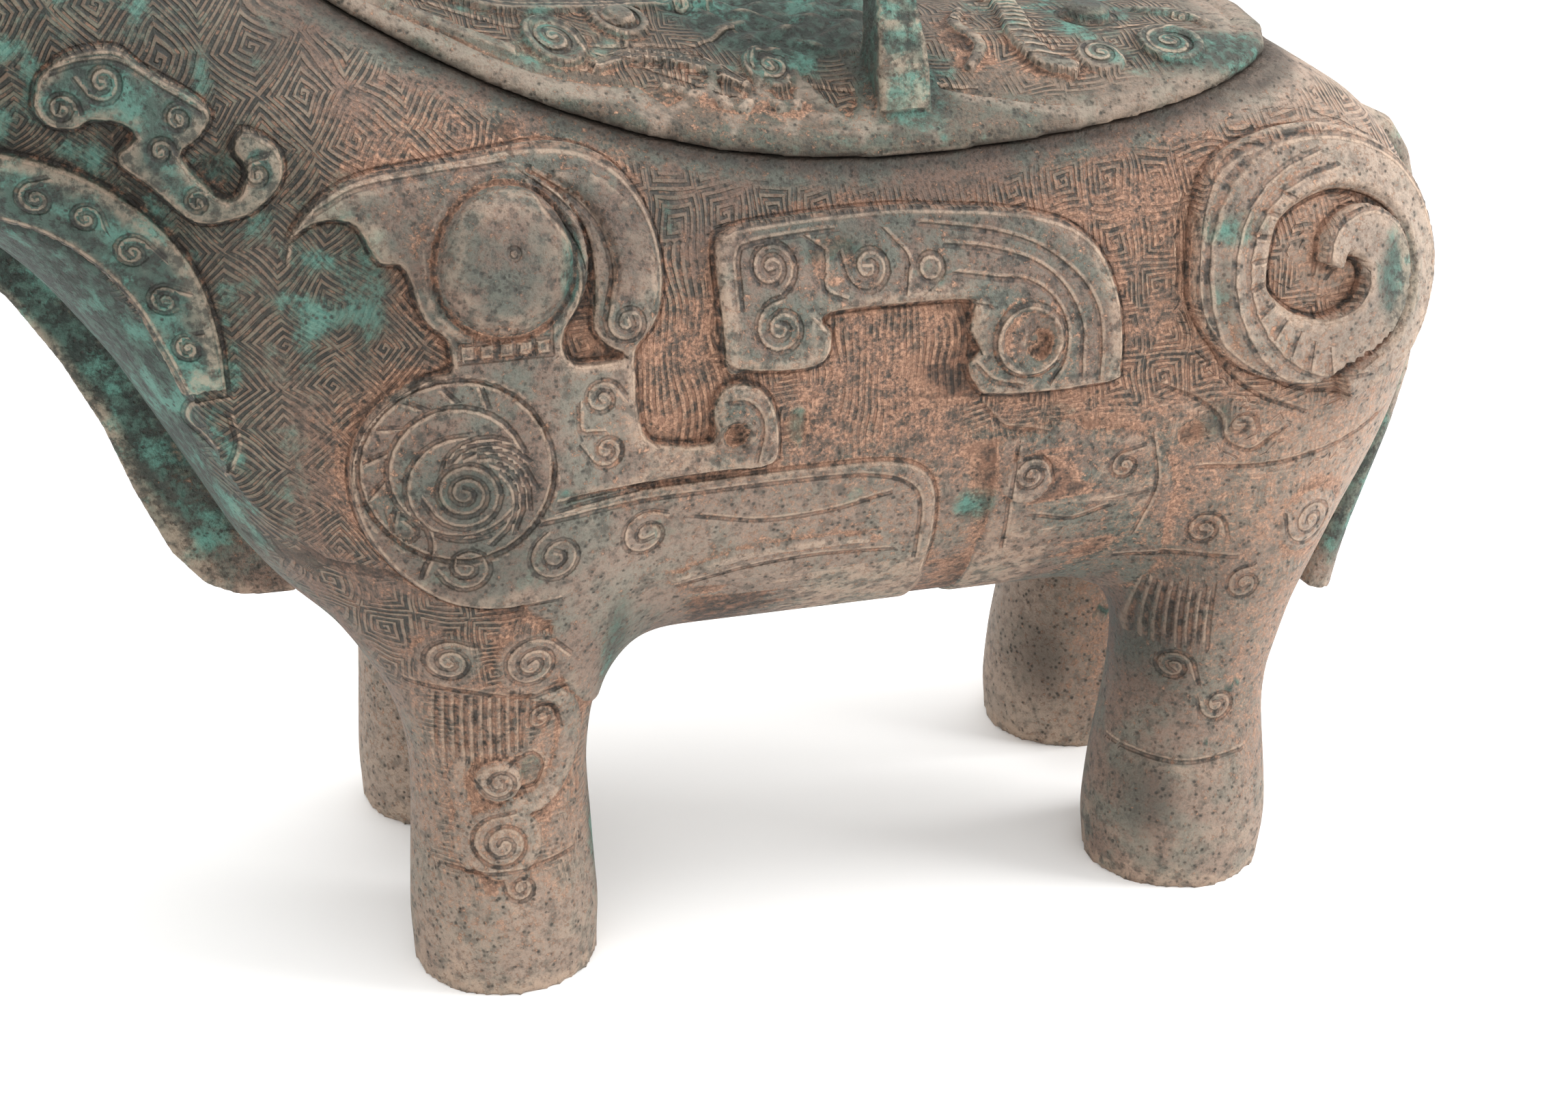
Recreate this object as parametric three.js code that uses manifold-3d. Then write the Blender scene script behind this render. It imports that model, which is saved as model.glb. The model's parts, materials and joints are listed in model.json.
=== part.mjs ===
// A cast bronze wine vessel (zun) in the form of a standing buffalo, with a lift-off lid on its back.
// Millimetres, +Z up. The beast looks along -X and stands with its hooves on z = 0.
// In the code x = 0 is midway between the fore and hind legs; the last lines move the origin under the
// middle of the whole vessel. Only one side of the beast is described: y and -y are alike.
import * as THREE from "three";
import { mergeVertices } from "three/addons/utils/BufferGeometryUtils.js";
import Module from "manifold-3d";

const wasm = await Module();
wasm.setup();

// Walls and the fit of the lid
const wallThickness = 3.8;
const lidThickness = 3.6;
const rimLand = 5.5; // width of the body's rim that the lid's border lies on
const lidOverhang = 0.8; // the lid's edge stands out past the rim by this much
const lidGap = 0.35; // between the rim and the lid's border
const lidEdge = 2.8; // height of the lid's outer edge
const lidRise = 13.5; // from the top of the edge to the crest
const tongueDepth = 7.0; // the ring under the lid that drops into the mouth
const tongueWall = 2.6;
const tongueClearance = 0.9; // between that ring and the mouth, all round

// The handle that bridges the lid from side to side
const handlePlace = 8.0; // along x
const handleHalfSpan = 28.0;
const handleRise = 30.0; // middle of the strap above its feet
const handleWidth = 5.5; // along x
const handleDepth = 8.0; // from the outside of the arch to the inside

// The beast's stance
const legSpacing = 133.6; // fore hoof to hind hoof, along x
const foreTrack = 31.5; // middle of a fore hoof from the middle plane
const hindTrack = 29.5;
const bellyHeight = 56.0;
const rumpEnd = 118.5;
const muzzleEnd = -277.5;
const rimLow = 149.4; // lowest point of the rim's saddle
const rimLowAt = 6; // along x

// Fineness of the mesh
const skinCell = 4.2;
const hollowCell = 6.5;
const skinTriangles = 4700;
const hollowTriangles = 560;
const bodyTriangles = 8200; // skin, ornament, horns, ears, tail and fin together

// Curves through a few points, rising and falling only where the points do
function curveThrough(points) {
  const slopes = points.slice(1).map((p, i) => (p[1] - points[i][1]) / (p[0] - points[i][0]));
  const tangents = points.map((p, i) => {
    const before = slopes[i - 1];
    const after = slopes[i];
    if (before === undefined) return after;
    if (after === undefined) return before;
    return before * after <= 0 ? 0 : (2 * before * after) / (before + after);
  });
  return (x) => {
    if (x <= points[0][0]) return points[0][1];
    if (x >= points.at(-1)[0]) return points.at(-1)[1];
    const i = points.findIndex((p) => p[0] > x) - 1;
    const step = points[i + 1][0] - points[i][0];
    const t = (x - points[i][0]) / step;
    return (
      points[i][1] * (1 + 2 * t) * (1 - t) ** 2 +
      points[i + 1][1] * t * t * (3 - 2 * t) +
      tangents[i] * step * t * (1 - t) ** 2 -
      tangents[i + 1] * step * t * t * (1 - t)
    );
  };
}

// Places on the head and upper neck are measured from the muzzle, those on the rump from its end
function fromMuzzle(distance) {
  return muzzleEnd + distance;
}

function fromRump(distance) {
  return rumpEnd - distance;
}

const neckTop = fromMuzzle(112.5);
const neckFoot = -129;

function alongNeck(share) {
  return neckTop + (neckFoot - neckTop) * share;
}

// The trunk, neck and head as upright oval sections along x
const back = curveThrough([
  [muzzleEnd, 168], [fromMuzzle(2.5), 180], [fromMuzzle(11.5), 188], [fromMuzzle(27.5), 191.5],
  [fromMuzzle(49.5), 197], [fromMuzzle(69.5), 208], [fromMuzzle(87.5), 212], [neckTop, 208.5],
  [alongNeck(5 / 6), 202], [-110, rimLow + 44.1], [-75, rimLow + 27.6], [-40, rimLow + 17.1],
  [0, rimLow + 12.6], [50, rimLow + 13.1], [fromRump(40.5), rimLow + 10.6], [fromRump(25.5), rimLow - 0.4],
  [fromRump(13.5), rimLow - 12.9], [fromRump(5.5), rimLow - 24.9], [rumpEnd, rimLow - 38.4],
]);
const belly = curveThrough([
  [muzzleEnd, 167], [fromMuzzle(3.5), 159], [fromMuzzle(13.5), 155.5], [fromMuzzle(37.5), 154.5],
  [fromMuzzle(67.5), 152], [fromMuzzle(92.5), 150], [neckTop, 148], [alongNeck(13 / 36), 144],
  [alongNeck(23 / 36), 136], [neckFoot, 119], [-120, 103], [-113, 89], [-106, 77],
    [-97, bellyHeight + 11.5],
  [-75, bellyHeight + 2.5], [-40, bellyHeight], [40, bellyHeight], [fromRump(43.5), bellyHeight + 2],
  [fromRump(24.5), bellyHeight + 8], [fromRump(11.5), bellyHeight + 20], [fromRump(4), rimLow - 57.4],
  [rumpEnd, rimLow - 39.4],
]);
const halfWidth = curveThrough([
  [muzzleEnd, 1], [fromMuzzle(2.5), 12], [fromMuzzle(9.5), 19], [fromMuzzle(21.5), 21.5],
  [fromMuzzle(35.5), 21], [fromMuzzle(55.5), 24.5], [fromMuzzle(75.5), 31], [fromMuzzle(95.5), 34],
  [alongNeck(5 / 36), 34.5], [alongNeck(25 / 36), 37], [-118, 42.5], [-98, 48.5], [-75, 52.5], [-50, 53],
  [0, 52], [50, 52], [fromRump(48.5), 51.5], [fromRump(32.5), 46.5], [fromRump(19.5), 38],
  [fromRump(9.5), 26.5], [fromRump(3), 15], [rumpEnd, 1],
]);
const sectionPower = 2.35; // 2 is an oval, more is squarer

function trunk(x, y, z) {
  const xIn = Math.min(Math.max(x, muzzleEnd + 0.2), rumpEnd - 0.2);
  const low = belly(xIn);
  const high = back(xIn);
  const wide = halfWidth(xIn);
  const tall = (high - low) / 2;
  const u = Math.abs(y) / wide;
  const v = Math.abs(z - (low + high) / 2) / tall;
  const round = (u ** sectionPower + v ** sectionPower) ** (1 / sectionPower);
  return (round - 1) * Math.min(wide, tall) + Math.abs(x - xIn);
}

// A leg is a column whose half-length and half-width change with height
const foreLeg = {
  axis: curveThrough([[0, -legSpacing / 2], [60, -legSpacing / 2], [100, -legSpacing / 2 - 1]]),
  track: curveThrough([[50, foreTrack], [75, foreTrack - 3], [98, foreTrack - 9]]),
  size: curveThrough([[-10, 16.8], [0, 16.8], [9, 17.6], [22, 17], [40, 16.2], [54, 17.4], [70, 20],
    [98, 21]]),
  soft: 15,
};
const hindLeg = {
  axis: curveThrough([[0, legSpacing / 2], [30, legSpacing / 2 + 0.4], [60, legSpacing / 2 + 4.4],
    [100, legSpacing / 2 + 12]]),
  track: curveThrough([[50, hindTrack], [75, hindTrack - 3], [98, hindTrack - 9]]),
  size: curveThrough([[-10, 17.2], [0, 17.2], [8, 18.2], [20, 17.4], [38, 15.4], [52, 16.6],
    [68, 20.5], [98, 23]]),
  soft: 11,
};
const legTop = 98;
const legStub = 7; // carried on below z = 0, where it is cut off flat

function leg(form, x, y, z) {
  const around = Math.hypot(x - form.axis(z), Math.abs(y) - form.track(z)) - form.size(z);
  return Math.max(around, z - legTop, -legStub - z);
}

function blend(a, b, size) {
  const h = Math.max(size - Math.abs(a - b), 0) / size;
  return Math.min(a, b) - (h * h * size) / 4;
}

// Rounded swellings: centre, half-sizes, and how softly each one grows out of the body
const swellings = [
  { at: [fromRump(8), 0, 122], size: [9.6, 7, 13], soft: 4 }, // root of the tail
  { at: [-legSpacing / 2 - 1.2, 27, 96], size: [27, 26, 33], soft: 10 }, // shoulder
  { at: [fromRump(35.5), 22, 116], size: [28, 29, 38], soft: 10 }, // haunch
  { at: [fromMuzzle(87.5), 19, 181], size: [24, 17, 25], soft: 9 }, // cheek
  { at: [fromMuzzle(63.5), 18, 197], size: [13, 10, 9], soft: 6 }, // brow
  { at: [fromMuzzle(16.5), 0, 181], size: [15, 23, 11], soft: 6 }, // upper lip
  { at: [fromMuzzle(25.5), 0, 160], size: [16, 17, 8], soft: 5 }, // chin
];

function swelling(s, x, y, z) {
  const p = [x - s.at[0], Math.abs(y) - s.at[1], z - s.at[2]];
  const k = Math.hypot(p[0] / s.size[0], p[1] / s.size[1], p[2] / s.size[2]);
  return (k - 1) * Math.min(...s.size);
}

function skin(x, y, z) {
  let d = trunk(x, y, z);
  for (const s of swellings) d = blend(d, swelling(s, x, y, z), s.soft);
  for (const form of [foreLeg, hindLeg]) d = blend(d, leg(form, x, y, z), form.soft);
  return d;
}

function gradient(field, x, y, z) {
  const e = 0.4;
  return new THREE.Vector3(
    field(x + e, y, z) - field(x - e, y, z),
    field(x, y + e, z) - field(x, y - e, z),
    field(x, y, z + e) - field(x, y, z - e),
  ).divideScalar(2 * e);
}

// The hollow keeps the wall's thickness from the trunk and runs through the neck into the head
const hollowFront = fromMuzzle(33.5);

function hollow(x, y, z) {
  const d = trunk(x, y, z);
  const steep = Math.max(gradient(trunk, x, y, z).length(), 0.2);
  return blendOut(d / steep + wallThickness, hollowFront - x, 12);
}

function blendOut(a, b, size) {
  return -blend(-a, -b, size);
}

// A closed mesh of a field's zero surface: one point in each cell that it crosses, settled on the surface
function meshOf(field, low, high, cell) {
  const n = low.map((l, i) => Math.ceil((high[i] - l) / cell) + 1);
  const at = (i, j, k) => (k * n[1] + j) * n[0] + i;
  const values = new Float64Array(n[0] * n[1] * n[2]);
  const place = (i, j, k) => [low[0] + i * cell, low[1] + j * cell, low[2] + k * cell];
  for (let k = 0; k < n[2]; k++)
    for (let j = 0; j < n[1]; j++)
      for (let i = 0; i < n[0]; i++) values[at(i, j, k)] = field(...place(i, j, k));
  const points = [];
  const triangles = [];
  const pointOf = new Map();
  const corner = (c) => [c & 1, (c >> 1) & 1, (c >> 2) & 1];
  for (let k = 0; k < n[2] - 1; k++)
    for (let j = 0; j < n[1] - 1; j++)
      for (let i = 0; i < n[0] - 1; i++) {
        const sum = [0, 0, 0];
        let crossings = 0;
        for (let c = 0; c < 8; c++)
          for (const bit of [1, 2, 4]) {
            if (c & bit) continue;
            const a = corner(c);
            const b = corner(c | bit);
            const va = values[at(i + a[0], j + a[1], k + a[2])];
            const vb = values[at(i + b[0], j + b[1], k + b[2])];
            if (va < 0 === vb < 0) continue;
            const t = va / (va - vb);
            for (let m = 0; m < 3; m++) sum[m] += a[m] + t * (b[m] - a[m]);
            crossings++;
          }
        if (!crossings) continue;
        pointOf.set(at(i, j, k), points.length);
        points.push(place(i, j, k).map((v, m) => v + (sum[m] / crossings) * cell));
      }
  for (const p of points)
    for (let turn = 0; turn < 2; turn++) {
      const slope = gradient(field, ...p);
      const move = THREE.MathUtils.clamp(field(...p) / Math.max(slope.lengthSq(), 0.2), -cell / 3, cell / 3);
      p[0] -= move * slope.x;
      p[1] -= move * slope.y;
      p[2] -= move * slope.z;
    }
  const steps = [[1, 0, 0], [0, 1, 0], [0, 0, 1]];
  for (let k = 1; k < n[2] - 1; k++)
    for (let j = 1; j < n[1] - 1; j++)
      for (let i = 1; i < n[0] - 1; i++)
        steps.forEach((s, m) => {
          const inside = values[at(i, j, k)] < 0;
          if (inside === values[at(i + s[0], j + s[1], k + s[2])] < 0) return;
          const u = steps[(m + 1) % 3];
          const v = steps[(m + 2) % 3];
          const ring = [[0, 0], [1, 0], [1, 1], [0, 1]].map(([p, q]) =>
            pointOf.get(at(i - p * u[0] - q * v[0], j - p * u[1] - q * v[1], k - p * u[2] - q * v[2])),
          );
          if (!inside) ring.reverse();
          triangles.push([ring[0], ring[1], ring[2]], [ring[0], ring[2], ring[3]]);
        });
  return { points, triangles };
}

// Fewer triangles: the two ends of the edge whose loss changes the surface least are joined, again and again
function simplify(mesh, wanted) {
  const points = mesh.points.map((p) => p.slice());
  const triangles = mesh.triangles.map((t) => t.slice());
  const around = points.map(() => new Set());
  triangles.forEach((t, i) => t.forEach((v) => around[v].add(i)));
  const minus = (a, b) => [a[0] - b[0], a[1] - b[1], a[2] - b[2]];
  const cross = (a, b) => [a[1] * b[2] - a[2] * b[1], a[2] * b[0] - a[0] * b[2], a[0] * b[1] - a[1] * b[0]];
  const dot = (a, b) => a[0] * b[0] + a[1] * b[1] + a[2] * b[2];
  const normalOf = (a, b, c) => cross(minus(b, a), minus(c, a));
  const errors = points.map(() => new Float64Array(10));
  for (const t of triangles) {
    const [a, b, c] = t.map((v) => points[v]);
    const n = normalOf(a, b, c);
    const size = Math.hypot(...n) || 1e-9;
    const plane = [...n.map((v) => v / size), -dot(n, a) / size];
    let m = 0;
    for (let i = 0; i < 4; i++)
      for (let j = i; j < 4; j++, m++) for (const v of t) errors[v][m] += plane[i] * plane[j];
  }
  const errorAt = (e, [x, y, z]) =>
    e[0] * x * x + 2 * e[1] * x * y + 2 * e[2] * x * z + 2 * e[3] * x + e[4] * y * y +
    2 * e[5] * y * z + 2 * e[6] * y + e[7] * z * z + 2 * e[8] * z + e[9];
  const age = new Int32Array(points.length);
  const heap = [];
  const swap = (i, j) => ([heap[i], heap[j]] = [heap[j], heap[i]]);
  const push = (item) => {
    heap.push(item);
    for (let i = heap.length - 1; i > 0; ) {
      const up = (i - 1) >> 1;
      if (heap[up].cost <= heap[i].cost) break;
      swap(i, up);
      i = up;
    }
  };
  const pop = () => {
    const top = heap[0];
    const last = heap.pop();
    if (!heap.length) return top;
    heap[0] = last;
    for (let i = 0; ; ) {
      const kids = [2 * i + 1, 2 * i + 2].filter((k) => k < heap.length);
      const least = kids.reduce((best, k) => (heap[k].cost < heap[best].cost ? k : best), i);
      if (least === i) return top;
      swap(i, least);
      i = least;
    }
  };
  const consider = (a, b) => {
    const e = errors[a].map((v, i) => v + errors[b][i]);
    const middle = points[a].map((v, i) => (v + points[b][i]) / 2);
    const solve = new THREE.Matrix3().set(e[0], e[1], e[2], e[1], e[4], e[5], e[2], e[5], e[7]);
    const choices = [middle, points[a], points[b]];
    const reach = Math.hypot(...minus(points[a], points[b]));
    if (Math.abs(solve.determinant()) > 1e-4) {
      const best = new THREE.Vector3(-e[3], -e[6], -e[8]).applyMatrix3(solve.invert()).toArray();
      if (Math.hypot(...minus(best, middle)) < reach) choices.push(best);
    }
    const place = choices.reduce((p, q) => (errorAt(e, q) < errorAt(e, p) ? q : p));
    push({ cost: errorAt(e, place) + 1e-4 * reach * reach, a, b, place, age: age[a] + age[b] });
  };
  const neighbours = (v) => {
    const found = new Set();
    for (const t of around[v]) for (const w of triangles[t]) if (w !== v) found.add(w);
    return found;
  };
  points.forEach((p, v) => neighbours(v).forEach((w) => v < w && consider(v, w)));
  const turns = (v, other, place) => {
    for (const t of around[v]) {
      if (triangles[t].includes(other)) continue;
      const old = normalOf(...triangles[t].map((w) => points[w]));
      const made = normalOf(...triangles[t].map((w) => (w === v ? place : points[w])));
      if (dot(old, made) < 0.35 * Math.hypot(...old) * Math.hypot(...made)) return true;
    }
    return false;
  };
  let left = triangles.length;
  while (left > wanted && heap.length) {
    const { a, b, place, age: then } = pop();
    if (!around[a].size || !around[b].size || then !== age[a] + age[b]) continue;
    const nearB = neighbours(b);
    const shared = [...neighbours(a)].filter((v) => nearB.has(v));
    if (!nearB.has(a) || shared.length !== 2 || turns(a, b, place) || turns(b, a, place)) continue;
    points[a] = place;
    errors[a] = errors[a].map((v, i) => v + errors[b][i]);
    for (const t of around[b]) {
      if (triangles[t].includes(a)) {
        triangles[t].forEach((v) => v !== b && around[v].delete(t));
        triangles[t] = null;
        left--;
      } else {
        triangles[t] = triangles[t].map((v) => (v === b ? a : v));
        around[a].add(t);
      }
    }
    around[b] = new Set();
    const touched = neighbours(a);
    age[a] += 1 + age[b];
    touched.forEach((v) => (age[v] += 1));
    for (const v of touched) neighbours(v).forEach((w) => (!touched.has(w) || v < w) && consider(v, w));
  }
  return { points, triangles: triangles.filter(Boolean) };
}

// Closed solids for joining and cutting
function solidFrom(points, triangles) {
  const vertProperties = Float32Array.from(points.flatMap((p) => (p.isVector3 ? p.toArray() : p)));
  return new wasm.Manifold(
    new wasm.Mesh({ numProp: 3, vertProperties, triVerts: Uint32Array.from(triangles.flat()) }),
  );
}

function solidOf(geometry) {
  const plain = geometry.clone();
  plain.deleteAttribute("normal");
  plain.deleteAttribute("uv");
  const merged = mergeVertices(plain, 1e-4);
  return new wasm.Manifold(
    new wasm.Mesh({
      numProp: 3,
      vertProperties: new Float32Array(merged.attributes.position.array),
      triVerts: new Uint32Array(merged.index.array),
    }),
  );
}

// A solid through a row of rings with a point at each end, each ring turning anticlockwise seen from the last
function loft(rings) {
  const count = rings[0].length;
  const points = rings.flat();
  const triangles = [];
  for (let r = 0; r + 1 < rings.length; r++)
    for (let i = 0; i < count; i++) {
      const a = r * count + i;
      const b = r * count + ((i + 1) % count);
      triangles.push([a, b, a + count], [b, b + count, a + count]);
    }
  [0, rings.length - 1].forEach((r) => {
    const middle = rings[r].reduce((sum, p) => sum.add(p), new THREE.Vector3()).divideScalar(count);
    const end = points.push(middle) - 1;
    for (let i = 0; i < count; i++) {
      const a = r * count + i;
      const b = r * count + ((i + 1) % count);
      triangles.push(r ? [a, b, end] : [b, a, end]);
    }
  });
  const made = solidFrom(points, triangles);
  return made.volume() > 0 ? made : solidFrom(points, triangles.map((t) => t.slice().reverse()));
}

function mirrored(solid) {
  return solid.add(solid.mirror([0, 1, 0]));
}

function thinned(solid, wanted) {
  const made = solid.getMesh();
  const rowOf = (list, i) => Array.from(list.slice(3 * i, 3 * i + 3));
  const rows = (list) => Array.from({ length: list.length / 3 }, (_, i) => rowOf(list, i));
  const less = simplify({ points: rows(made.vertProperties), triangles: rows(made.triVerts) }, wanted);
  return solidFrom(less.points, less.triangles);
}

// Horns, ears, tail and the fin under the throat
function tapered(path, sizes, sides, steps) {
  const curve = new THREE.CatmullRomCurve3(path.map((p) => new THREE.Vector3(...p)));
  const rings = [];
  let across = new THREE.Vector3(1, 0, 0);
  for (let s = 0; s <= steps; s++) {
    const t = s / steps;
    const centre = curve.getPoint(t);
    const along = curve.getTangent(t);
    across = across.clone().addScaledVector(along, -across.dot(along)).normalize();
    const up = new THREE.Vector3().crossVectors(along, across);
    const [a, b] = sizes(t);
    rings.push(
      Array.from({ length: sides }, (_, i) => {
        const angle = (2 * Math.PI * i) / sides;
        const sideways = centre.clone().addScaledVector(across, a * Math.cos(angle));
        return sideways.addScaledVector(up, b * Math.sin(angle));
      }),
    );
  }
  return loft(rings);
}

function horns() {
  const path = [
    [81.5, 12, 203], [85.5, 25, 211], [98.5, 39, 216], [117.5, 48, 215], [135.5, 49, 207], [145.5, 43, 197],
  ].map(([distance, y, z]) => [fromMuzzle(distance), y, z]);
  const swell = (t) => 9.6 * (1 - t) ** 0.62 + 1.6;
  return mirrored(tapered(path, (t) => [swell(t), swell(t) * 0.86], 14, 14));
}

function ears() {
  const path = [[97.5, 24, 192], [105.5, 37, 191], [115.5, 47, 188], [124.5, 54, 183]].map(
    ([distance, y, z]) => [fromMuzzle(distance), y, z],
  );
  const leaf = (t) => 3 + 7.5 * Math.sin(Math.PI * Math.min(1, 0.16 + 0.84 * t)) ** 0.8;
  return mirrored(tapered(path, (t) => [leaf(t), 2.6 + 1.2 * (1 - t)], 10, 7));
}

function tail() {
  const path = [
    [14.5, 136], [6.5, 135], [0.6, 127], [-1.6, 114], [-3.8, 100], [-2.5, 84], [3, 66], [9, 52], [12.7, 40],
  ].map(([distance, z]) => [fromRump(distance), 0, z]);
  const swell = (t) => 4.4 - 0.9 * Math.sin(Math.PI * t) + 4 * Math.max(0, t - 0.75);
  return tapered(path, (t) => [swell(t), swell(t) * 1.25], 10, 13);
}

const finThickness = 4.2;

function throatFin() {
  // x and z of the fin's free edge, from under the jaw down to the chest
  const edge = [
    [-178, 147], [-165, 142], [-153, 135], [-143.5, 125.5], [-135.8, 113], [-129.6, 100], [-125.2, 87],
    [-119.6, 74], [-114, 67], [-107.5, 63.8], [-98, 63.6],
  ];
  const root = [
    [-176, 156], [-162, 154], [-148, 149], [-138, 139], [-126, 122], [-117, 106], [-110, 93], [-103, 82],
    [-98, 76], [-94, 73], [-90, 70],
  ];
  const rings = edge.map((e, i) => {
    const r = root[i];
    return [
      new THREE.Vector3(e[0], finThickness * 0.32, e[1]),
      new THREE.Vector3(e[0], -finThickness * 0.32, e[1]),
      new THREE.Vector3(r[0], -finThickness * 0.6, r[1]),
      new THREE.Vector3(r[0], finThickness * 0.6, r[1]),
    ];
  });
  return loft(rings);
}

// Raised ornament is drawn on a flat sheet beside the beast, in millimetres, and pressed onto its skin.
// A sheet's normal turns from the beast's left side towards its tail.
const reliefRoot = 1.2; // how far the ornament's underside lies inside the skin

function sheet(x, y, turn) {
  const angle = THREE.MathUtils.degToRad(turn);
  const out = new THREE.Vector3(Math.sin(angle), -Math.cos(angle), 0);
  const along = new THREE.Vector3(Math.cos(angle), Math.sin(angle), 0);
  return (a, z, raise) => {
    const start = new THREE.Vector3(x, y, z).addScaledVector(along, a);
    const at = (d) => start.clone().addScaledVector(out, d);
    let far = 60;
    while (far > -30 && skin(...at(far - 1)) > 0) far -= 1;
    const d = lastWhere((t) => skin(...at(t)) > 0, far, far - 1);
    const p = at(d);
    return p.addScaledVector(gradient(skin, ...p).normalize(), raise);
  };
}

const flank = sheet(0, 0, 0);
const haunch = sheet(fromRump(38.5), -40, 26);

// A raised band along a path of [along, up, width], with sloping sides
function band(place, path, height, steps) {
  const curve = new THREE.CatmullRomCurve3(path.map((p) => new THREE.Vector3(...p)));
  const wide = Math.max(...path.map((p) => p[2])) > 7;
  const rings = Array.from({ length: steps + 1 }, (_, s) => {
    const p = curve.getPoint(s / steps);
    const t = curve.getTangent(s / steps);
    const side = new THREE.Vector2(-t.y, t.x).normalize();
    const at = (share, extra, raise) => {
      const reach = (share * p.z) / 2 + Math.sign(share) * extra;
      return place(p.x + side.x * reach, p.y + side.y * reach, raise);
    };
    const flat = wide ? [-1, 0, 1] : [-1, 1];
    return [at(-1, 0.6, -reliefRoot), ...flat.map((share) => at(share, 0, height)), at(1, 0.6, -reliefRoot)];
  });
  return loft(rings);
}

// A round raised form: rows of [radius, height] from its edge to its middle
function roundel(place, x, z, rows, sides) {
  const ring = ([radius, raise]) =>
    Array.from({ length: sides }, (_, i) => {
      const angle = (2 * Math.PI * i) / sides;
      return place(x + radius * Math.cos(angle), z + radius * Math.sin(angle), raise);
    });
  const edge = rows[0][0];
  return loft([[edge * 0.5, -reliefRoot], [edge + 0.6, -reliefRoot], ...rows].map(ring));
}

// A spiral path round a centre: rows of [turn in degrees, radius, width]
function spiral(x, z, rows) {
  return rows.map(([turn, radius, width]) => {
    const angle = THREE.MathUtils.degToRad(turn);
    return [x + radius * Math.cos(angle), z + radius * Math.sin(angle), width];
  });
}

function ornament() {
  const pieces = [
    // boss with its collar, the beak to its left and the horn-shaped curl to its right
    roundel(flank, -66.3, 140.3, [[14.3, 1.5], [11.8, 1.4], [11.2, 2.2], [9.2, 4.4], [5.2, 6],
      [1.6, 6.2]], 18),
    band(flank, [[-99.4, 147.8, 0.8], [-95, 150.4, 3.2], [-90, 151.6, 4.6], [-85.5, 149.6, 9],
      [-79, 147.5, 12]], 1.8, 7),
    band(flank, [[-60, 154.6, 2.4], [-52, 151.4, 5], [-46.5, 146.5, 7], [-43.3, 140, 8],
      [-43, 133, 8.4], [-46, 127.4, 6.5]], 2.1, 9),
    // neck of the boss, shoulder disc with its vortex, and the outline of the bent limb
    band(flank, [[-66, 130, 19], [-66.5, 121, 17]], 1.4, 3),
    roundel(flank, -75, 106.8, [[17.3, 1.8], [15.6, 1.8], [14.8, 1.0], [6, 1.0]], 24),
    band(flank, spiral(-73, 104.2, [[-20, 13.4, 1.6], [40, 12.6, 2], [100, 11, 2], [160, 10, 2],
      [220, 8.8, 2], [280, 7.4, 2], [340, 6, 2], [400, 4.6, 2], [460, 3.4, 2]]), 2.2, 20),
    band(flank, [[-89, 92, 2], [-85, 87, 3], [-79, 83.4, 3], [-72, 81.6, 2.4]], 1.7, 6),
    band(flank, [[-71, 98.4, 1.4], [-50, 98.8, 2.4], [-28, 100, 2.4], [-8, 100.2, 2.4],
      [3, 98.2, 2.4], [8.4, 91.5, 2.4], [9.6, 80, 2]], 1.5, 14),
    band(flank, [[-50.7, 123, 10], [-50.6, 113, 12.6], [-50, 102.5, 12.6]], 1.5, 4),
    band(flank, [[-28.5, 115.6, 3], [-23.8, 114.6, 4.6], [-21.2, 109.6, 4.6], [-21.6, 103, 3.6]], 1.7, 6),
    // the dragon along the middle of the flank: body, head block and the eye in its bend
    band(flank, [[-29.6, 134, 13], [-18, 134.2, 14.6], [0, 134.4, 15], [16, 133.8, 15],
      [27, 130.5, 14.4], [34, 123.5, 13], [37, 116, 12], [36.6, 110.4, 9]], 1.7, 15),
    band(flank, [[-21.6, 127.6, 17], [-21.2, 122, 17], [-20.8, 117.6, 14]], 1.7, 3),
    roundel(flank, 24.6, 119.4, [[6.6, 1.5], [4.6, 1.7], [3.4, 1.0]], 12),
    // neck: the bent dragon, and the scrolled border above the throat fin
    band(flank, [[-138, 166.5, 4], [-132, 174, 6.4], [-124.5, 174.5, 6.6], [-119.4, 167.5, 6.4],
      [-116.4, 160, 6.4], [-112.4, 152.6, 6], [-106, 151.4, 5.4], [-101.6, 156.4, 5],
      [-103.4, 162.4, 4], [-107.6, 164.4, 3]], 1.7, 20),
    band(flank, [[-146, 154.5, 11], [-134.5, 151, 11], [-125, 145.4, 10.4], [-118, 136, 9],
      [-113.8, 126, 7.4], [-111.6, 117, 5.4], [-109, 106, 3.6], [-103, 94.5, 3]], 1.8, 16),
    // haunch: the great volute and the rim round its front
    band(haunch, spiral(-1, 124.5, [[140, 4.6, 4], [90, 6.4, 7.4], [45, 7.8, 9.6], [0, 8.8, 11],
      [-45, 10, 11], [-90, 11.6, 10.4], [-135, 13.8, 9.4], [-180, 16, 9], [-225, 17.4, 9],
      [-270, 18.4, 9], [-315, 18.8, 8.4], [-360, 19, 8], [-405, 19.4, 7], [-450, 20.4, 5.4]]), 2.6, 30),
    band(haunch, spiral(-1, 125, [[105, 25.6, 1.4], [140, 25.8, 2.4], [180, 25.4, 2.6],
      [220, 25, 2.4], [262, 24, 1.2]]), 1.4, 10),
  ];
  return mirrored(pieces.reduce((all, piece) => all.add(piece)));
}

// The face: eyes, nostrils and a mouth a little open
function eyes() {
  const side = sheet(fromMuzzle(63.5), -22, -16);
  return mirrored(
    roundel(side, -1, 188.5, [[7, 0.8], [5.4, 1.2], [4.4, 2.6], [2.4, 3.6]], 12),
  );
}

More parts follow.
